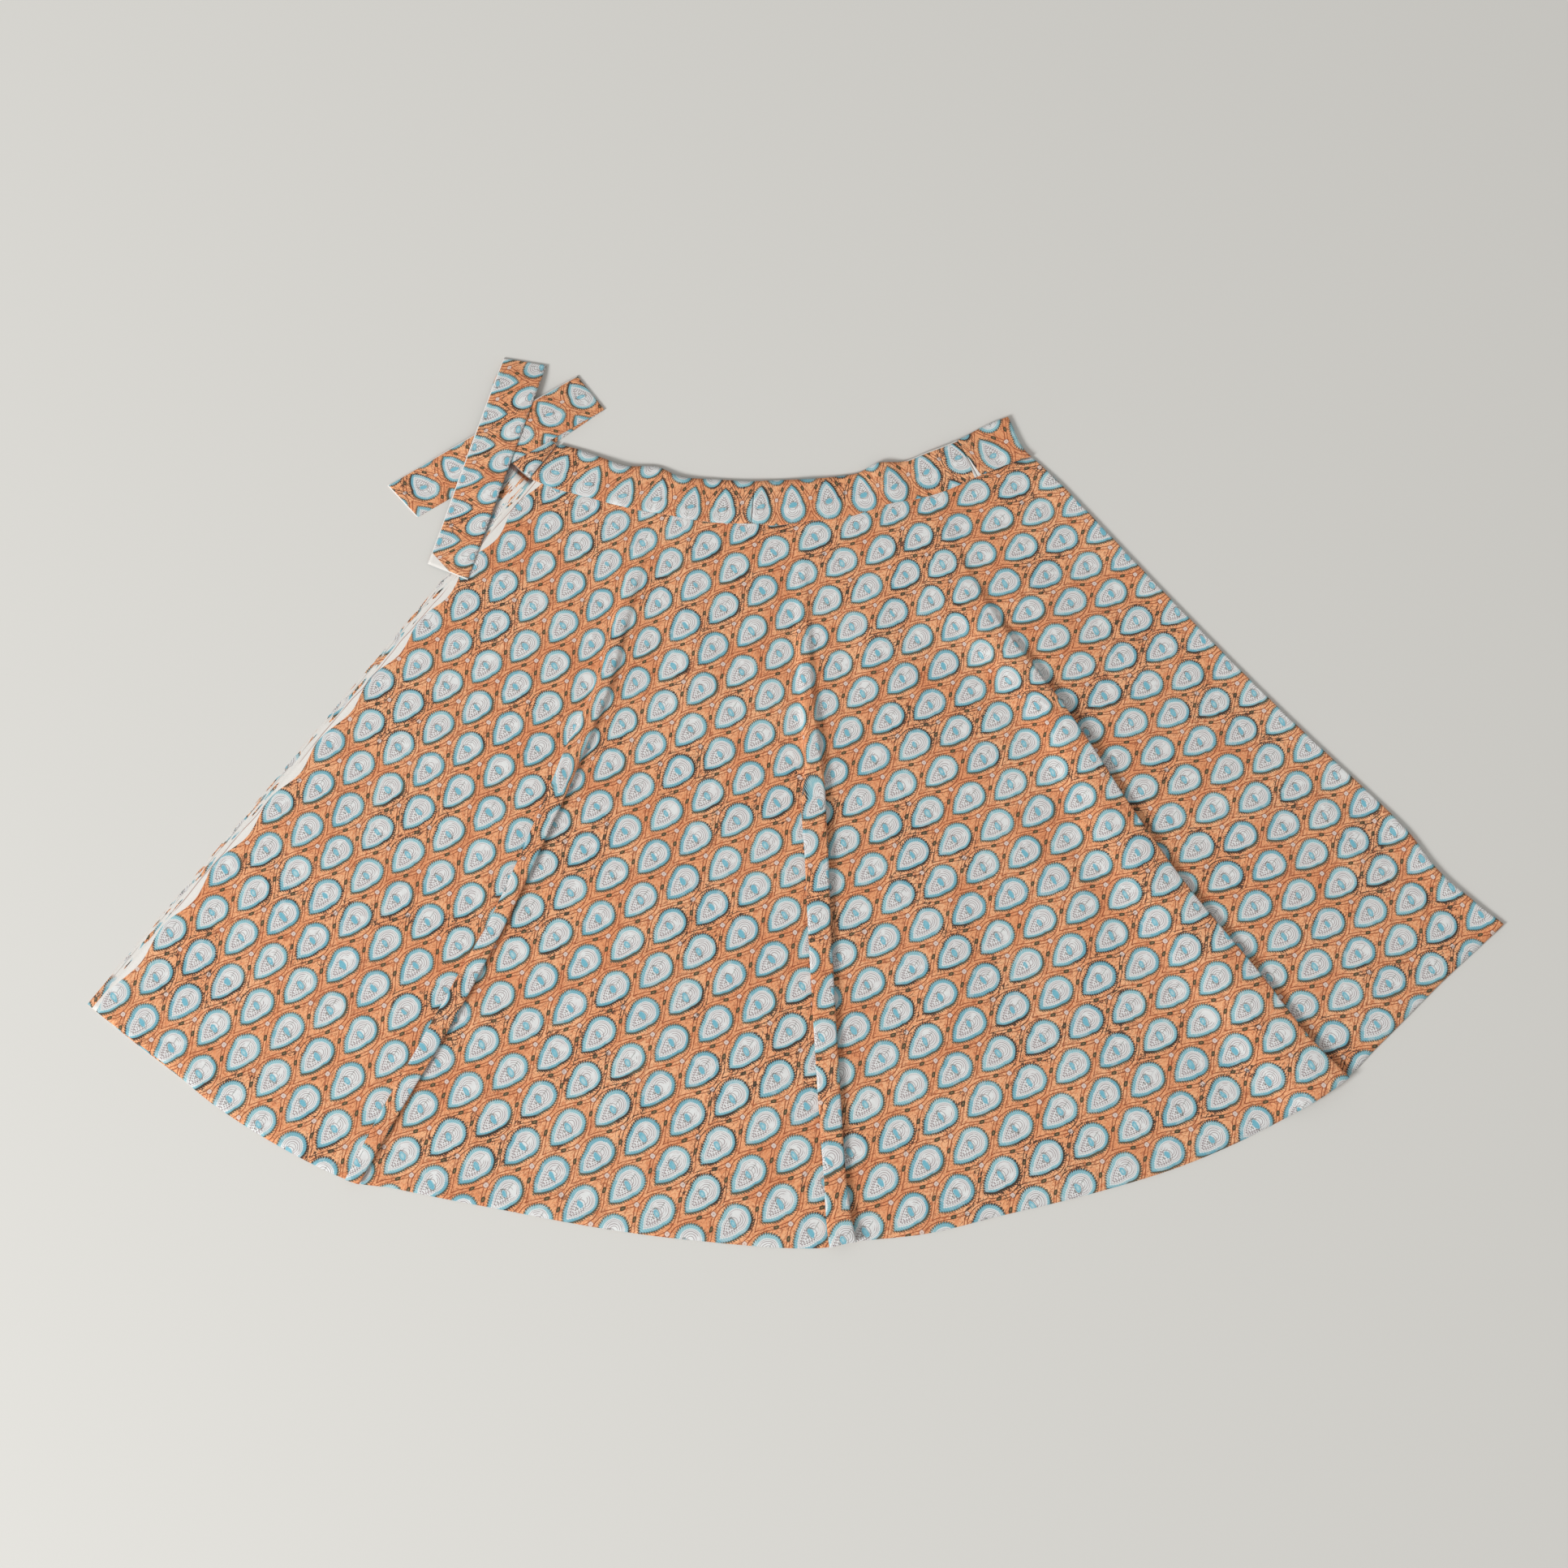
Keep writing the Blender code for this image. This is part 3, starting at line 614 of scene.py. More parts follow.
def front_cloth_row(t):
    """The front's points and their places on the print, from the left edge to the underlap."""

    def radius_of(angle):
        inner = seam_radius(angle) - band_lap(angle)
        return between(inner, hem_radius(angle), t)

    def on_cloth(angle, height=0):
        return place(radius_of(angle), angle, FRONT_MIDDLE + height)

    crossings = []
    for fold in FOLDS:
        crossings.append(crossing_of(fold, settle(radius_of, fold.table)))
    radius = settle(radius_of, RIGHT_FOLD)
    row = row_at(RIGHT_FOLD, radius)
    edge = row.edge - math.degrees(CLOTH_WALL / 2 / radius)
    rolled = rolled_edge(FRONT_MIDDLE, row.puff * SHOWN_PUFF * MM, CLOTH_WALL, FOLD_UNDERLAP)
    side_angles = [edge + math.degrees(x / radius) for x, _ in rolled]

    def fold_print(fold, run, here, at_run):
        """The place on the print near a fold, `run` along the cloth from its first point."""
        crossing = crossings[fold]
        first = on_cloth(crossing.angles[0])
        last = on_cloth(crossing.angles[-1])
        length = crossing.runs[-1]
        left_step = print_step(fold, first, last)
        right_step = -print_step(fold + 1, last, first)
        spare = length - (last - first).length
        if at_run:
            left = print_at(fold, first) + left_step * run
            right = print_at(fold + 1, last) - right_step * (length - run)
        elif run < 0:
            left = print_at(fold, here)
            right = print_at(fold + 1, here) - right_step * spare
        else:
            left = print_at(fold, here) + left_step * spare
            right = print_at(fold + 1, here)

        def past(middle):
            return soft_step((run - middle + crossing.reach) / (2 * crossing.reach))

        # A ridge is even, so its other hidden flap lies as far from its start
        left += crossing.off * past(length - crossing.change)
        return left.lerp(right, past(crossing.change))

    def flat_print(region, here):
        if region > 0:
            crossing = crossings[region - 1]
            run = crossing.runs[-1] + (here - on_cloth(crossing.angles[-1])).length
            if run < crossing.change + crossing.reach:
                return fold_print(region - 1, run, here, False)
        if region < LAST_PART:
            crossing = crossings[region]
            run = -(here - on_cloth(crossing.angles[0])).length
            if run > crossing.change - crossing.reach:
                return fold_print(region, run, here, False)
        return print_at(region, here)

    points = []
    prints = []

    def add(here, where):
        """Adds a point, lifted by the creases there, and its place on the print."""
        here.z += crease_height(here)
        points.append(here)
        prints.append(where)

    start = math.degrees(FRONT_EDGE_INSET / radius_of(0))
    for region, columns in enumerate(FRONT_SECTION_COLUMNS):
        right = crossings[region].angles[0] if region < LAST_PART else side_angles[0]
        for share in shares(columns)[:-1]:
            here = on_cloth(between(start, right, share))
            add(here, flat_print(region, here))
        if region < LAST_PART:
            crossing = crossings[region]
            for angle, height, run in zip(*crossing[:3]):
                here = on_cloth(angle, height)
                add(here, fold_print(region, run, here, True))
            start = crossing.angles[-1]
            # The next region's first column is the fold's last point
            points.pop()
            prints.pop()
    side = on_cloth(side_angles[0])
    step = print_step(LAST_PART, side, on_cloth(max(side_angles)))
    run = 0
    for k, (x, z) in enumerate(rolled):
        if k:
            run += math.hypot(x - rolled[k - 1][0], z - rolled[k - 1][1])
        points.append(on_cloth(side_angles[k], z))
        prints.append(print_at(LAST_PART, side) + step * run)
    return points, prints


def back_prints(points):
    """The back's places on the print, whose drops lie along its straight left edge."""
    c = math.cos(math.radians(LEFT_EDGE_BEARING))
    s = math.sin(math.radians(LEFT_EDGE_BEARING))
    return [Vector((c * p.x - s * p.y, c * p.y + s * p.x)) + BACK_PRINT_OFF for p in points]


def band_prints(points):
    """The band's places on the print: drops stand across it, with their tips to its top edge."""
    angles = [drop.angle for drop in BAND_DROPS]
    prints = []
    for p in points:
        radius = math.hypot(p.x - APEX.x, p.y - APEX.y)
        angle = math.degrees(math.atan2(p.x - APEX.x, APEX.y - p.y)) + LEFT_EDGE_BEARING
        i = clamped(bisect_right(angles, angle) - 1, 0, len(angles) - 2)
        across = i + (angle - angles[i]) / (angles[i + 1] - angles[i])
        middle = smooth_value(BAND_DROPS, "angle", "radius", angle) * MM
        prints.append(Vector((across * PRINT_PITCH, (radius - middle) / BAND_PRINT_SCALE)))
    return prints


def put(name, data, home, at=(0, 0, 0)):
    """Puts a new object with its data into a collection."""
    made = bpy.data.objects.new(name, data)
    made.location = at
    home.objects.link(made)
    return made


def cloth_piece(node, rows, prints, wall, materials, edges=None):
    """Makes the cloth that stands for a node, with its print's places and a thin wall."""
    name = node + "_cloth"
    across = len(rows[0])
    points = [point for row in rows for point in row]
    places = [place for row in prints for place in row]
    faces = []
    for j in range(len(rows) - 1):
        for i in range(across - 1):
            corner = j * across + i
            faces.append((corner, corner + across, corner + across + 1, corner + 1))
    mesh = bpy.data.meshes.new(name)
    mesh.from_pydata(points, [], faces)
    for material in materials:
        mesh.materials.append(material)
    layer = mesh.uv_layers.new(name="print")
    corners = [loop.vertex_index for loop in mesh.loops]
    layer.data.foreach_set("uv", [c for index in corners for c in places[index]])
    if edges is not None:
        ends = [end for row in edges for end in row]
        layer = mesh.uv_layers.new(name="edge")
        layer.data.foreach_set("uv", [c for index in corners for c in ends[index]])
    mesh.shade_smooth()
    solidify = put(name, mesh, skirt).modifiers.new("wall", "SOLIDIFY")
    solidify.thickness = wall
    solidify.offset = 0
    solidify.use_even_offset = True
    solidify.use_quality_normals = True
    solidify.material_offset = 1
    solidify.material_offset_rim = 2


def fine_tie_rows(runs, station_steps):
    """The tie's rows, with more of them between its stations and softer changes of height."""
    finer = []
    for run in runs:
        heights = []
        for low, high in zip(run.heights, run.heights[1:]):
            heights += [low + (high - low) * k / station_steps for k in range(station_steps)]
        heights.append(run.heights[-1])
        for _ in range(2 * station_steps):
            middle = [(a + 2 * b + c) / 4 for a, b, c in zip(heights, heights[1:], heights[2:])]
            heights = [heights[0]] + middle + [heights[-1]]
        finer.append(run._replace(heights=heights))
    return tie_rows(finer)


# A tie's places on the print: their scale, the shifts along and across, and the scale across
StripPrint = namedtuple("StripPrint", "scale along aside across")
LOWER_TIE_PRINT = StripPrint(1.063, -22.9 * MM, 2 * MM, 1.25)
UPPER_TIE_PRINT = StripPrint(1.15, -19 * MM, -21.5 * MM, -1)


def strip_prints(rows, where):
    """A strip's places on the print, from its own length along each side."""
    left = 0
    right = 0
    prints = []
    for j, row in enumerate(rows):
        if j:
            left += (row[0] - rows[j - 1][0]).length
            right += (row[-1] - rows[j - 1][-1]).length
        across = []
        for t in shares(len(row) - 1):
            along = between(left, right, t) * where.scale + where.along
            aside = where.across * (t - 0.5) * TIE_WIDTH * where.scale + where.aside
            across.append(Vector((along, aside)))
        prints.append(across)
    return prints


def strip_places(rows):
    """Each point's distance from the strip's first long edge, and from its free end."""
    run = 0
    runs = [0]
    for row, after in zip(rows, rows[1:]):
        run += (after[0].lerp(after[-1], 0.5) - row[0].lerp(row[-1], 0.5)).length
        runs.append(run)
    places = []
    for row, at in zip(rows, runs):
        places.append([Vector((TIE_WIDTH * t, run - at)) for t in shares(len(row) - 1)])
    return places


def edge_places(rows, inset):
    """Each point's distance from the straight left edge, and from the apex along it."""
    bearing = math.radians(-LEFT_EDGE_BEARING)
    course = Vector((math.sin(bearing), -math.cos(bearing)))
    places = []
    for row in rows:
        from_apex = [Vector((p.x, p.y)) - APEX for p in row]
        asides = [course.x * p.y - course.y * p.x - inset for p in from_apex]
        places.append([Vector((aside, p.dot(course))) for aside, p in zip(asides, from_apex)])
    return places


def end_places(rows, end):
    """Each point's distance from its row's end point, and how far down the rows it is."""
    places = []
    for t, row in zip(shares(len(rows) - 1), rows):
        places.append([Vector(((p - row[end]).length, t)) for p in row])
    return places


# Colours, as red, green and blue from 0 to 255
FLOOR_TONE = (214, 213, 209)
GROUND_BRIGHT = (241, 182, 137)
GROUND_MID = (236, 168, 121)
GROUND_RED = (218, 138, 93)
LINE_BROWN = (146, 76, 48)
OLIVE = (74, 82, 70)
CYAN = (152, 200, 207)
CYAN_BRIGHT = (184, 214, 218)
CYAN_DEEP = (86, 160, 182)
FIELD = (225, 227, 226)
FIELD_SHADE = (212, 209, 209)
FIELD_DOTS = (138, 120, 122)
CORE = (98, 176, 196)
LEAF = (66, 64, 46)
LEAF_INSIDE = (170, 140, 98)
BLOSSOM = (222, 200, 188)
WHITE_CLOTH = (228, 225, 220)
THREAD_SHADE = (176, 168, 160)
SPECK = (62, 50, 44)


def linear(tone):
    """A tone as the shader's linear colour."""
    found = []
    for level in tone:
        c = level / 255
        found.append(c / 12.92 if c < 0.04045 else ((c + 0.055) / 1.055) ** 2.4)
    return (*found, 1)


def operation(kind):
    """The method that takes a value, and any others, through one kind of sum."""
    return lambda self, *others: self.make(kind, *others)


class Value:
    """A number in a shader, so that its sums read as plain arithmetic."""

    __add__ = operation("ADD")
    __sub__ = operation("SUBTRACT")
    __mul__ = operation("MULTIPLY")
    __truediv__ = operation("DIVIDE")
    __abs__ = operation("ABSOLUTE")
    fraction = operation("FRACT")
    least = operation("MINIMUM")
    most = operation("MAXIMUM")
    power = operation("POWER")
    root = operation("SQRT")
    sine = operation("SINE")
    cosine = operation("COSINE")
    angle_from = operation("ARCTAN2")

    def __init__(self, tree, socket):
        self.tree = tree
        self.socket = socket

    def make(self, kind, *others, clamp=False):
        node = self.tree.nodes.new("ShaderNodeMath")
        node.operation = kind
        node.use_clamp = clamp
        for socket, item in zip(node.inputs, (self, *others)):
            if isinstance(item, Value):
                self.tree.links.new(item.socket, socket)
            else:
                socket.default_value = item
        return Value(self.tree, node.outputs[0])

    def __rsub__(self, other):
        return self.make("MULTIPLY_ADD", -1, other)

    def cyclic(self, period, phase=0.5):
        """The way from the middle of a repeat, which is at zero for a phase of a half."""
        turns = self / period
        if phase:
            turns = turns + phase
        return (turns.fraction() - 0.5) * period

    def below(self, edge, soft):
        """1 well below the edge and 0 well above it, over a soft width."""
        if isinstance(edge, Value):
            return ((edge - self) / soft).make("ADD", 0.5, clamp=True)
        return self.make("MULTIPLY_ADD", -1 / soft, edge / soft + 0.5, clamp=True)

    def above(self, edge, soft):
        return self.make("MULTIPLY_ADD", 1 / soft, -edge / soft + 0.5, clamp=True)

    def pick(self, other, share):
        """This value where share is 0 and the other one where it is 1."""
        return self + (other - self) * share


def length_of(a, b):
    return (a * a + b * b).root()


def noise_of(u, v, scale, detail=2, even=False):
    """Smooth noise at a place, as three values, or as a single one where even is set."""
    tree = u.tree
    join = tree.nodes.new("ShaderNodeCombineXYZ")
    tree.links.new(u.socket, join.inputs[0])
    tree.links.new(v.socket, join.inputs[1])
    noise = tree.nodes.new("ShaderNodeTexNoise")
    noise.noise_dimensions = "2D"
    noise.inputs["Scale"].default_value = scale
    noise.inputs["Detail"].default_value = detail
    tree.links.new(join.outputs[0], noise.inputs["Vector"])
    if even:
        return Value(tree, noise.outputs[0])
    split = tree.nodes.new("ShaderNodeSeparateColor")
    tree.links.new(noise.outputs["Color"], split.inputs[0])
    return [Value(tree, output) for output in split.outputs]


# The mix node's colour inputs and output
MIX_UNDER = 6
MIX_OVER = 7
MIX_RESULT = 2


class Paint:
    """A colour that takes one layer after another."""

    def __init__(self, tree, tone):
        self.tree = tree
        self.colour = linear(tone)

    def layer(self, share, tone):
        """Puts a tone, or another paint, over the colour where share is 1."""
        mix = self.tree.nodes.new("ShaderNodeMix")
        mix.data_type = "RGBA"
        self.connect(share.socket if isinstance(share, Value) else share, mix.inputs[0])
        self.connect(self.colour, mix.inputs[MIX_UNDER])
        self.connect(tone.colour if isinstance(tone, Paint) else linear(tone), mix.inputs[MIX_OVER])
        self.colour = mix.outputs[MIX_RESULT]
        return self

    def connect(self, item, socket):
        if isinstance(item, bpy.types.NodeSocket):
            self.tree.links.new(item, socket)
        else:
            socket.default_value = item


# The drop: a circle with a point drawn out of it, and a smaller one inside
Drop = namedtuple("Drop", "middle radius tip bulge")
DROP = Drop(4.6 * MM, 14.9 * MM, 28.3 * MM, 2.3 * MM)
INNER_DROP = Drop(-0.8 * MM, 5.6 * MM, 12.5 * MM, 0.6 * MM)

# The teeth of its outline, and the field's depth, uneven edge, lines and dots inside it
TOOTH_PITCH = 2.4 * MM
TOOTH_HEIGHT = 2.1 * MM
TOOTH_SLANT = 0.8
HATCH_SLANT = 0.9
FIELD_DEPTH = 4.1 * MM
FIELD_UNEVEN = 1.1 * MM
FIELD_LINE = 5.4 * MM
RING_DEPTHS = (6.9 * MM, 9 * MM, 11.1 * MM)
DOT_PITCH = 2.5 * MM

# The blue block lies off the outline by this much across and along, and a little more by chance
BLOCK_OFF = (1.2 * MM, 0.2 * MM)
BLOCK_CHANCE = 3 * MM

# The core, the heart below it and the stem above it: places along the drop, and half sizes
CORE_CHANCE = 2 * MM
CORE_HALF = (2.6 * MM, 4.7 * MM)
HEART_AT = -4.6 * MM
HEART_HALF = (1.3 * MM, 1.5 * MM)
STEM_AT = 8.8 * MM
STEM_HALF = (3.6 * MM, 0.45 * MM)

# The scales of the print's noises, per metre, and how far the fine one moves its lines
FINE_NOISE = 90
COARSE_NOISE = 14
TWIG_NOISE = 150
DROP_NOISE = 31
WOBBLE = 1.6 * MM

# The net's double line: its way off the cells' border, its half width and its uneven course
NET_OFF = 1.7 * MM
NET_HALF_WIDTH = 0.45 * MM
NET_UNEVEN = 0.7 * MM

# Leaves and blossoms: their places as shares of a row and a pitch, their turn and half sizes
LEAF_AT = 0.58
LEAF_ASIDE = 0.19
LEAF_TURN = (0.91, 0.41)
LEAF_HALF = (2.8 * MM, 1.6 * MM)
BLOSSOM_AT = 0.85
BLOSSOM_RIM = 2.8 * MM
BLOSSOM_HALF = 2.2 * MM
BLOSSOM_EYE = 0.6 * MM

# The width over which a choice between two places is made
SHARP = 0.01 * MM


def drop_distance(drop, a, b):
    """The distance outside a drop's outline, and the length along it from its round end."""
    half_angle = math.asin(drop.radius / drop.tip)
    c = math.cos(half_angle)
    s = math.sin(half_angle)
    side = abs(b)
    ahead = a - drop.middle
    from_tip = ahead + drop.tip
    along = from_tip * c + side * s
    tangent = drop.tip * c
    t = along / tangent
    straight = side * c - from_tip * s - t * (1 - t) * (4 * drop.bulge)
    curved = length_of(ahead, side) - drop.radius
    is_curved = along.above(tangent, SHARP)
    turned = side.angle_from(ahead) * drop.radius
    run = (drop.radius * (math.pi / 2 + half_angle) + tangent - along).pick(turned, is_curved)
    return straight.pick(curved, is_curved), run


def teeth(d, run, slant):
    """Slanted teeth along an outline, between 0 and 1."""
    return abs(((run + d * slant) / TOOTH_PITCH).fraction() - 0.5) * 2


def print_paint(u, v):
    """The block print at a place across and along its drops."""
    fine = noise_of(u, v, FINE_NOISE)
    coarse = noise_of(u, v, COARSE_NOISE)
    u = u + (fine[0] - 0.5) * WOBBLE
    v = v + (fine[1] - 0.5) * WOBBLE
    both_rows = 2 * PRINT_ROW
    even_a = v.cyclic(both_rows)
    even_b = u.cyclic(PRINT_PITCH)
    odd_a = v.cyclic(both_rows, 0)
    odd_b = u.cyclic(PRINT_PITCH, 0)
    cell_half = ((even_a * (math.pi / PRINT_ROW)).cosine() + 1) * (PRINT_PITCH / 4)
    is_even = abs(even_b).below(cell_half, SHARP)
    a = odd_a.pick(even_a, is_even)
    b = odd_b.pick(even_b, is_even)
    chance = noise_of(u - b, v - a, DROP_NOISE, 0)
    from_net = abs(abs(even_b) - cell_half)

    paint = Paint(u.tree, GROUND_MID)
    paint.layer(coarse[0].above(0.48, 0.25), GROUND_BRIGHT)
    paint.layer(coarse[1].above(0.58, 0.14) * 0.5, GROUND_RED)
    twigs = noise_of(u * 1.4, v * 0.8, TWIG_NOISE, 1)
    paint.layer(abs(twigs[2] - 0.5).below(0.045, 0.04) * 0.7, GROUND_RED)
    twig = abs(twigs[0] - 0.5).below(0.024, 0.02).most(abs(twigs[1] - 0.52).below(0.018, 0.02))
    paint.layer(twig * from_net.below(7 * MM, 2 * MM) * 0.6, LINE_BROWN)
    net = abs(from_net + (fine[2] - 0.5) * NET_UNEVEN - NET_OFF).below(NET_HALF_WIDTH, 0.22 * MM)
    paint.layer(net * 0.95, LINE_BROWN)

    # Two leaves on the net and a small blossom where its lines meet
    leaves = []
    blossoms = []
    c, s = LEAF_TURN
    for row_v, across in ((0, even_b), (PRINT_ROW, odd_b)):
        p = (v + (row_v - LEAF_AT * PRINT_ROW)).cyclic(both_rows)
        q = abs(across) - LEAF_ASIDE * PRINT_PITCH
        leaves.append(length_of((p * c - q * s) / LEAF_HALF[0], (p * s + q * c) / LEAF_HALF[1]))
        far = (v + (row_v - BLOSSOM_AT * PRINT_ROW)).cyclic(both_rows)
        blossoms.append(abs(far).power(3) + abs(across).power(3))
    leaf = leaves[0].least(leaves[1])
    blossom = blossoms[0].least(blossoms[1]).power(1 / 3)
    paint.layer(leaf.below(1.1, 0.2) * 0.95, LEAF)
    paint.layer(leaf.below(0.4, 0.3) * 0.5, LEAF_INSIDE)
    paint.layer(blossom.below(BLOSSOM_RIM, 0.5 * MM) * 0.7, LINE_BROWN)
    paint.layer(blossom.below(BLOSSOM_HALF, 0.5 * MM) * 0.95, BLOSSOM)
    paint.layer(blossom.below(BLOSSOM_EYE, 0.5 * MM) * 0.5, FIELD_DOTS)

    # Heavy ink here and there beside the drops
    heavy = coarse[1].below(0.435, 0.04)
    inked = heavy * twigs[2].above(0.47, 0.08) * from_net.below(9 * MM, 3 * MM)
    paint.layer(inked * twig.most(net) * 0.85, SPECK)

    # The outline, with its slanted teeth
    d, run = drop_distance(DROP, a, b)
    edge = d + (teeth(d, run, TOOTH_SLANT) - 0.5) * TOOTH_HEIGHT
    paint.layer(edge.below(0.75 * MM, 0.35 * MM) * 0.95, OLIVE)
    paint.layer(edge.below(1 * MM, 0.35 * MM) * heavy * 0.85, SPECK)

    # The blue block sits off the outline, a different way in each drop
    off_a = a + (chance[0] - 0.5) * BLOCK_CHANCE - BLOCK_OFF[1]
    off_b = b + (chance[1] - 0.5) * BLOCK_CHANCE + BLOCK_OFF[0]
    block, block_run = drop_distance(DROP, off_a, off_b)
    hatch = teeth(block, block_run, HATCH_SLANT)
    blue = Paint(u.tree, CYAN)
    blue.layer(hatch.above(0.6, 0.3) * 0.6, CYAN_BRIGHT)
    blue.layer(hatch.below(0.25, 0.2) * 0.6, CYAN_DEEP)
    blue.layer(block.above(-1.5 * MM, 1.6 * MM) * 0.55, CYAN_DEEP)
    blue.layer(coarse[2].above(0.52, 0.2) * 0.5, CYAN_DEEP)
    blue.layer(fine[0].above(0.58, 0.12) * 0.3, FIELD)
    covered = block.below(-0.1 * MM, 0.6 * MM) * edge.below(-0.55 * MM, 0.5 * MM)
    paint.layer(covered * 0.92, blue)

    # The field: rows of dots towards the point and thin contours in the round half
    field = Paint(u.tree, FIELD)
    field.layer(fine[2].above(0.54, 0.25) * 0.4, FIELD_SHADE)
    dots = abs((run / DOT_PITCH).fraction() - 0.5).below(0.23, 0.16)
    pointed = a.below(3 * MM, 5 * MM)
    for depth in RING_DEPTHS:
        ring = abs(d + depth)
        field.layer(ring.below(0.6 * MM, 0.3 * MM) * dots * pointed * 0.9, FIELD_DOTS)
        contour = ring.below(0.34 * MM, 0.24 * MM) * (1 - pointed)
        field.layer(contour * fine[1].above(0.42, 0.12) * 0.75, FIELD_DOTS)
    field.layer(abs(d + FIELD_LINE).below(0.26 * MM, 0.24 * MM) * 0.55, FIELD_DOTS)

    # The small drop inside, its blue core and the stem towards the round end
    in_a = a + (chance[1] - 0.5) * CORE_CHANCE
    in_b = b + (chance[0] - 0.5) * CORE_CHANCE
    small, _ = drop_distance(INNER_DROP, in_a, in_b)
    field.layer(abs(small).below(0.36 * MM, 0.24 * MM) * 0.65, FIELD_DOTS)
    core = length_of((in_a + in_b * 0.2) / CORE_HALF[0], in_b / CORE_HALF[1])
    core = core + (fine[0] - 0.5) * 1.3
    heart = length_of((in_a - HEART_AT) / HEART_HALF[0], in_b / HEART_HALF[1])
    field.layer(heart.below(0.9, 0.3) * 0.45, OLIVE)
    field.layer(abs(core - 1.15).below(0.14, 0.12) * fine[2].above(0.44, 0.1) * 0.6, OLIVE)
    field.layer(core.below(0.95, 0.35) * 0.9, CORE)
    field.layer(core.below(0.45, 0.4) * coarse[2].below(0.5, 0.1) * 0.7, CYAN_BRIGHT)
    stem = abs(in_b + in_a * 0.12).below(STEM_HALF[1], 0.35 * MM)
    stem = stem * abs(in_a - STEM_AT).below(STEM_HALF[0], 0.6 * MM)
    field.layer(stem * chance[2].above(0.48, 0.1) * 0.45, OLIVE)
    paint.layer((d + (hatch - 0.5) * FIELD_UNEVEN).below(-FIELD_DEPTH, 0.5 * MM), field)
    return paint, coarse


# The white triangle at the tie slot: its half width at the seam, and where it starts on the band
SLOT_WIDTH = 3.4 * MM
SLOT_START = 0.45

# The white fringe along the band's top edge by the slot: its width is a share of the band's
FRINGE_LENGTH = 58 * MM
FRINGE_WIDTH = 0.026

# On the back's turned hem: how far out its print shows again, and how far the inner fold reaches
HEM_PRINT_FROM = 1090 * MM
INNER_FOLD_TO = 415 * MM

# Bare cloth on the ties: along one long edge, at the free end and on the upper tie's corner
BARE_EDGE = 0.9 * MM
BARE_END = 1.3 * MM
BARE_CORNER = 13 * MM

# The selvedge: how far its scallops reach, and their and its line's uneven course
SCALLOP_MIDDLE = 5.4 * MM
SCALLOP_DEPTH = 3.6 * MM
SELVEDGE_UNEVEN = 3 * MM
SELVEDGE_LINE = 1.8 * MM
LINE_UNEVEN = 5 * MM

# How much of the print comes through to the reverse, and the thread line on the turned hem
REVERSE_SHARE = 0.42
THREAD_LINE = 2.6 * MM

# The weave: its repeat, its depth, and how much its threads and their unevenness rise
WEAVE_PITCH = 0.55 * MM
WEAVE_DEPTH = 0.16 * MM
THREAD_RISE = 0.35
UNEVEN_RISE = 1.6

# The scales of the noises in the weave, on the cut edge and in the turned hem's streaks
WEAVE_NOISE = 240
EDGE_NOISE = 60
STREAK_NOISE = 42
STREAK_STRETCH = 7


CLOTH_FINISH = {
    "Roughness": 0.88,
    "Specular IOR Level": 0.25,
    "Sheen Weight": 0.12,
    "Sheen Roughness": 0.5,
}
FLOOR_FINISH = {
    "Base Color": linear(FLOOR_TONE),
    "Roughness": 0.95,
    "Specular IOR Level": 0.1,
}


def material_of(name, finish):
    """A new material with a finish on its shader, and that shader."""
    material = bpy.data.materials.new(name)
    material.use_nodes = True
    shader = material.node_tree.nodes["Principled BSDF"]
    for socket, value in finish.items():
        shader.inputs[socket].default_value = value
    return material, shader


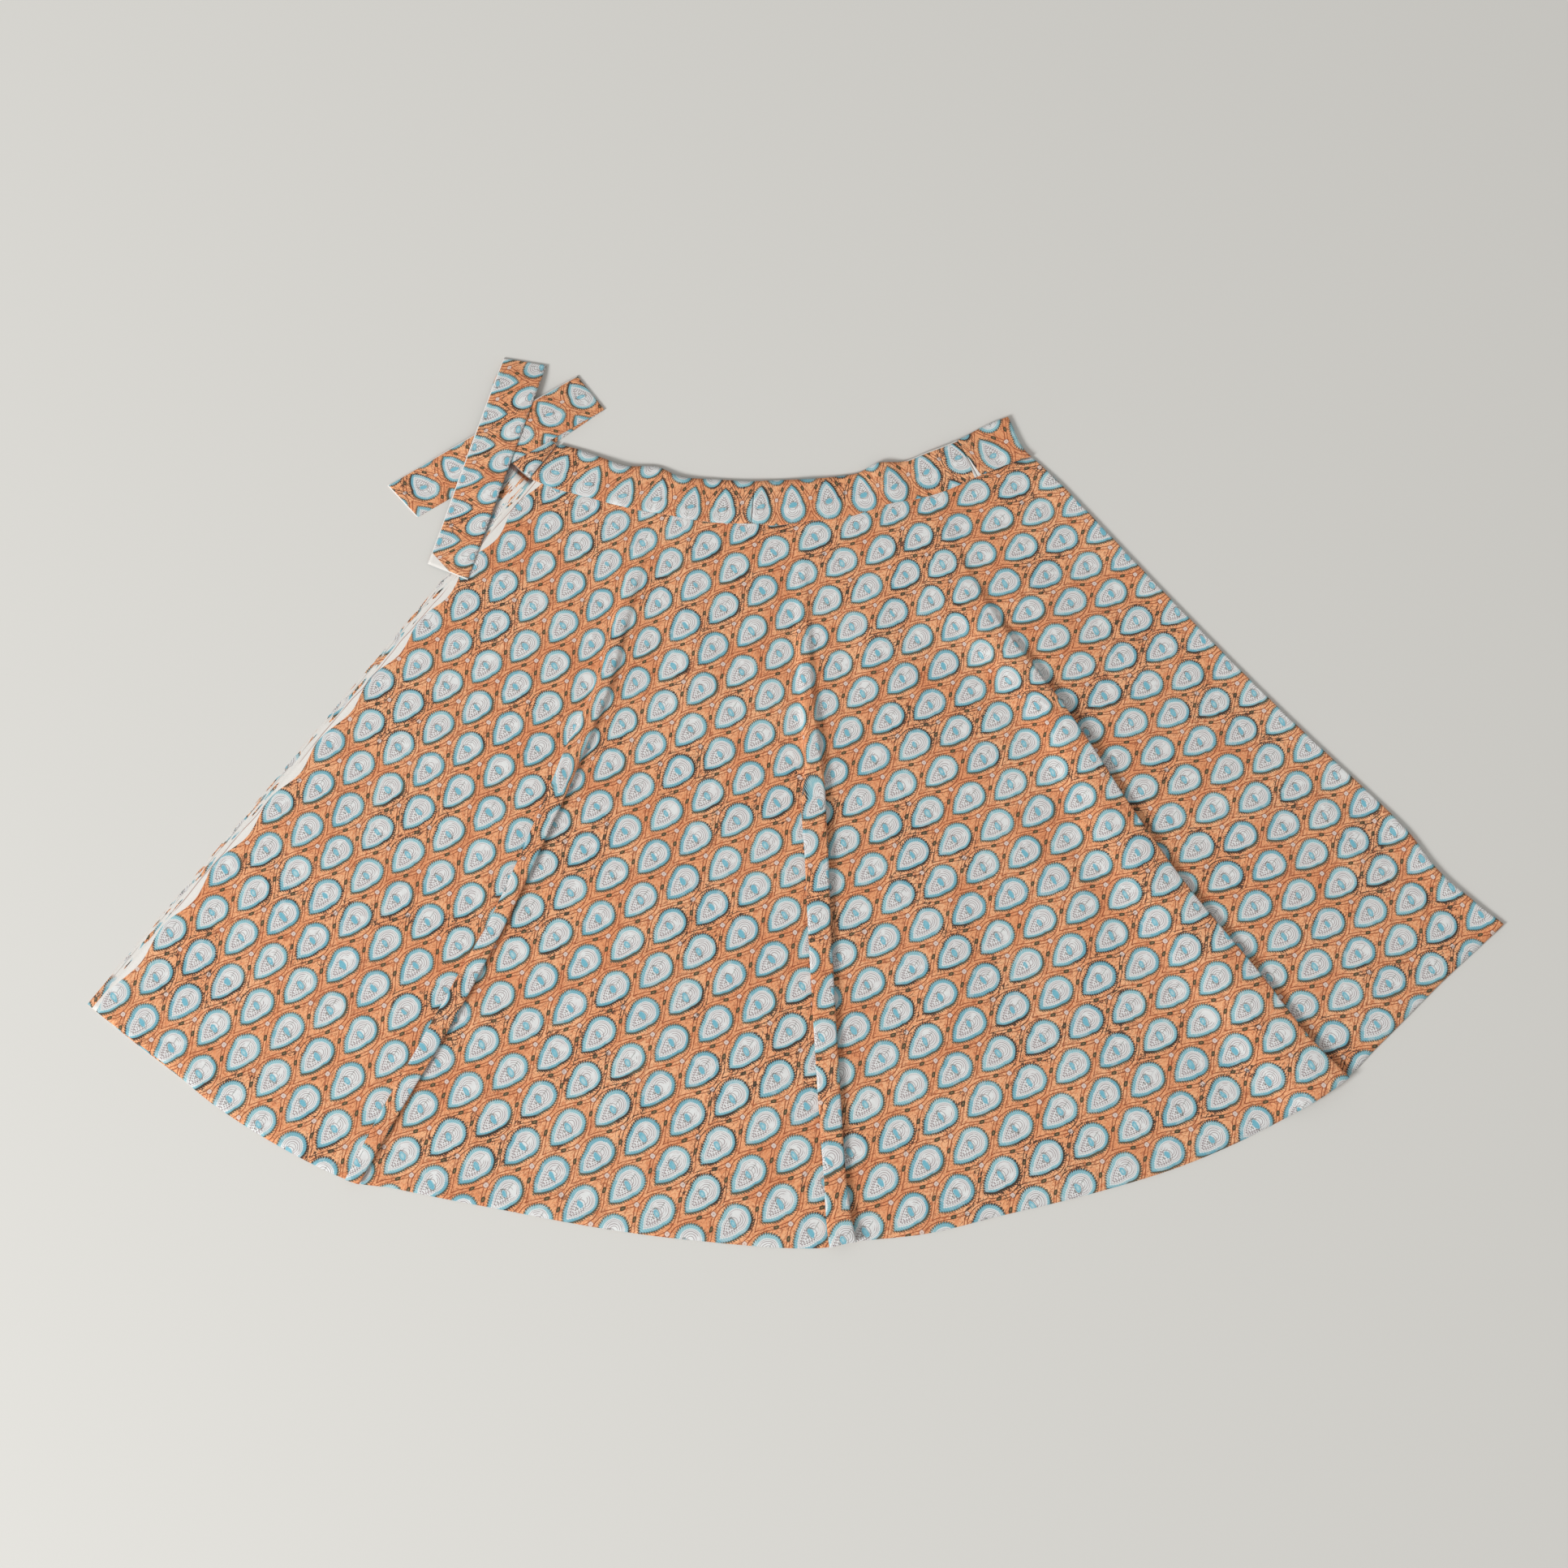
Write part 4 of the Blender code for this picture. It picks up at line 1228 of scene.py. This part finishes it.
def cloth_material(name, kind):
    """Printed cotton: the plain print, or with the finish that the kind names."""
    material, shader = material_of(name, CLOTH_FINISH)
    tree = material.node_tree

    def layer_values(layer):
        source = tree.nodes.new("ShaderNodeUVMap")
        source.uv_map = layer
        split = tree.nodes.new("ShaderNodeSeparateXYZ")
        tree.links.new(source.outputs[0], split.inputs[0])
        return Value(tree, split.outputs[0]), Value(tree, split.outputs[1])

    u, v = layer_values("print")
    if kind == "edge":
        paint = Paint(tree, WHITE_CLOTH)
        paint.layer(noise_of(u, v, EDGE_NOISE)[0].above(0.5, 0.1) * 0.7, GROUND_BRIGHT)
    else:
        paint, coarse = print_paint(u, v)
    if kind == "reverse":
        paint = Paint(tree, WHITE_CLOTH).layer(REVERSE_SHARE, paint)
    if kind not in ("printed", "reverse", "edge"):
        inside, course = layer_values("edge")
    if kind == "front":
        wave = (v * (math.pi / PRINT_ROW)).cosine()
        ragged = inside + (coarse[0] - 0.5) * SELVEDGE_UNEVEN
        bare = ragged.below(SCALLOP_MIDDLE - wave * SCALLOP_DEPTH, 0.5 * MM)
        paint.layer(bare, WHITE_CLOTH)
        line = abs(inside + (coarse[1] - 0.5) * LINE_UNEVEN - SELVEDGE_LINE)
        broken = line.below(0.35 * MM, 0.3 * MM) * coarse[2].above(0.44, 0.1)
        paint.layer(broken * 0.7, LINE_BROWN)
    if kind in ("slot", "slot_fringe"):
        down = (course - SLOT_START) * (SLOT_WIDTH / (1 - SLOT_START))
        paint.layer((inside - down).below(0, 0.4 * MM), WHITE_CLOTH)
    if kind == "slot_fringe":
        fringe = course.below(FRINGE_WIDTH, 0.012) * inside.below(FRINGE_LENGTH, 6 * MM)
        paint.layer(fringe, WHITE_CLOTH)
    if kind == "under":
        streak = noise_of(inside * STREAK_STRETCH, course, STREAK_NOISE)
        inner = course.below(INNER_FOLD_TO, 2 * MM)
        outer = course.above(HEM_PRINT_FROM, 6 * MM)
        paint.layer(inner * 0.55, LINE_BROWN)
        paint.layer(1 - streak[0].above(0.54, 0.04).most(outer).most(inner), WHITE_CLOTH)
        thread = abs(inside - THREAD_LINE).below(0.3 * MM, 0.3 * MM)
        paint.layer(thread * streak[1].above(0.45, 0.08) * 0.7, THREAD_SHADE)
    if kind in ("strip", "strip_corner"):
        bare = inside.below(BARE_EDGE, 0.4 * MM).most(course.below(BARE_END, 0.4 * MM))
        if kind == "strip_corner":
            bare = bare.most((course + inside * 0.5).below(BARE_CORNER, 1 * MM))
        paint.layer(bare, WHITE_CLOTH)

    threads = [(way * (2 * math.pi / WEAVE_PITCH)).sine() for way in (u, v)]
    height = threads[0] * threads[1] * THREAD_RISE
    height = height + noise_of(u, v, WEAVE_NOISE, even=True) * UNEVEN_RISE
    bump = tree.nodes.new("ShaderNodeBump")
    bump.inputs["Strength"].default_value = 0.5
    bump.inputs["Distance"].default_value = WEAVE_DEPTH
    tree.links.new(height.socket, bump.inputs["Height"])
    tree.links.new(bump.outputs[0], shader.inputs["Normal"])
    paint.connect(paint.colour, shader.inputs["Base Color"])
    return material


studio = bpy.context.scene.collection
skirt = bpy.data.collections.new("wrap_skirt_cloth")
studio.children.link(skirt)

printed = cloth_material("printed_cotton_face", "printed")
front_face = cloth_material("printed_cotton_selvedge", "front")
reverse = cloth_material("printed_cotton_reverse", "reverse")
turned_hem = cloth_material("printed_cotton_turned_hem", "under")
cut_edge = cloth_material("printed_cotton_edge", "edge")

rows, prints = zip(*[front_cloth_row(t) for t in shares(PANEL_ROWS)])
finish = (front_face, reverse, cut_edge)
cloth_piece("panel_front", rows, prints, SHELL, finish, edge_places(rows, FRONT_EDGE_INSET))
rows = [back_row(t) for t in shares(PANEL_ROWS // 2)]
prints = [back_prints(row) for row in rows]
finish = (turned_hem, printed, cut_edge)
cloth_piece("panel_back", rows, prints, SHELL, finish, edge_places(rows, 0))


def band_cloth(node, row_of, wall, face, end=None):
    """Makes a piece of the band, with places from one of its ends where its face needs them."""
    rows = [row_of(t) for t in shares(BAND_ROWS)]
    prints = [band_prints(row) for row in rows]
    edges = None if end is None else end_places(rows, end)
    cloth_piece(node, rows, prints, wall, (face, printed, cut_edge), edges)


slot_face = cloth_material("printed_cotton_slot", "slot")
fringe_face = cloth_material("printed_cotton_fringe", "slot_fringe")
left, middle = BAND_PIECES
band_cloth(left.name, lambda t: band_row(left, t), BAND_SHELL, printed, -1)
band_cloth(middle.name, lambda t: band_row(middle, t), BAND_SHELL, fringe_face, -1)
band_cloth("waistband_right", band_right_row, BAND_SHELL, slot_face, 0)
band_cloth("waistband_back", band_back_row, SHELL, printed)

TIE_STATION_STEPS = 4
lower_face = cloth_material("printed_cotton_strip", "strip")
upper_face = cloth_material("printed_cotton_bare_corner", "strip_corner")
for node, runs, where, face in (
    ("tie_lower", LOWER_TIE, LOWER_TIE_PRINT, lower_face),
    ("tie_upper", UPPER_TIE, UPPER_TIE_PRINT, upper_face),
):
    rows = fine_tie_rows(runs, TIE_STATION_STEPS)
    prints = strip_prints(rows, where)
    cloth_piece(node, rows, prints, SHELL, (face, printed, cut_edge), strip_places(rows))

# What each piece stands for, its finish and its flat size
DECLARED = table_of(
    "node slot width length area held rests_on",
    ("panel_back", "printed_cotton", 1.13, 1.13, 0.79, "laid", []),
    ("panel_front", "printed_cotton", 1.16, 1.14, 0.9, "folded", ["panel_back"]),
    ("waistband_back", "waistband_cotton", 0.52, 0.05, None, "laid", []),
    ("waistband_left", "waistband_cotton", 0.22, 0.047, None, "laid", ["panel_front"]),
    ("waistband_middle", "waistband_cotton", 0.24, 0.047, None, "laid", ["panel_front"]),
    ("waistband_right", "waistband_cotton", 0.08, 0.045, None, "folded", ["panel_front"]),
    ("tie_lower", "tie_cotton", 0.38, 0.045, None, "folded", ["panel_front"]),
    ("tie_upper", "tie_cotton", 0.38, 0.045, None, "folded", ["tie_lower"]),
)
for declared in DECLARED:
    piece = bpy.data.objects[declared.node + "_cloth"]
    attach(piece, "root")
    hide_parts(declared.node)

# The floor, the light and the camera
FLOOR_HALF = 9
mesh = bpy.data.meshes.new("floor")
corners = [(-1, -1), (1, -1), (1, 1), (-1, 1)]
mesh.from_pydata([(x * FLOOR_HALF, y * FLOOR_HALF, 0) for x, y in corners], [], [(0, 1, 2, 3)])
floor = put("floor", mesh, studio)
mesh.materials.append(material_of("pale_floor", FLOOR_FINISH)[0])

KEY_FROM = Vector((-5.4, -3.2, 4.3))
KEY_SIZE = 2.6
KEY_WATTS = 490
key = bpy.data.lights.new("key", "AREA")
key.shape = "DISK"
key.size = KEY_SIZE
key.energy = KEY_WATTS
key_light = put("key", key, studio, KEY_FROM)
key_light.rotation_euler = (-KEY_FROM).to_track_quat("-Z", "Y").to_euler()

STUDIO_COLOUR = (1, 0.985, 0.96, 1)
STUDIO_STRENGTH = 0.5
world = bpy.data.worlds.new("studio")
world.use_nodes = True
background = world.node_tree.nodes["Background"]
background.inputs["Color"].default_value = STUDIO_COLOUR
background.inputs["Strength"].default_value = STUDIO_STRENGTH
bpy.context.scene.world = world

CAMERA_AT = (-0.0119, 0.0204, 3.877)
camera_data = bpy.data.cameras.new("camera")
camera_data.lens = 85
camera_data.sensor_width = 36
bpy.context.scene.camera = put("camera", camera_data, studio, CAMERA_AT)
bpy.context.scene.view_settings.view_transform = "Standard"
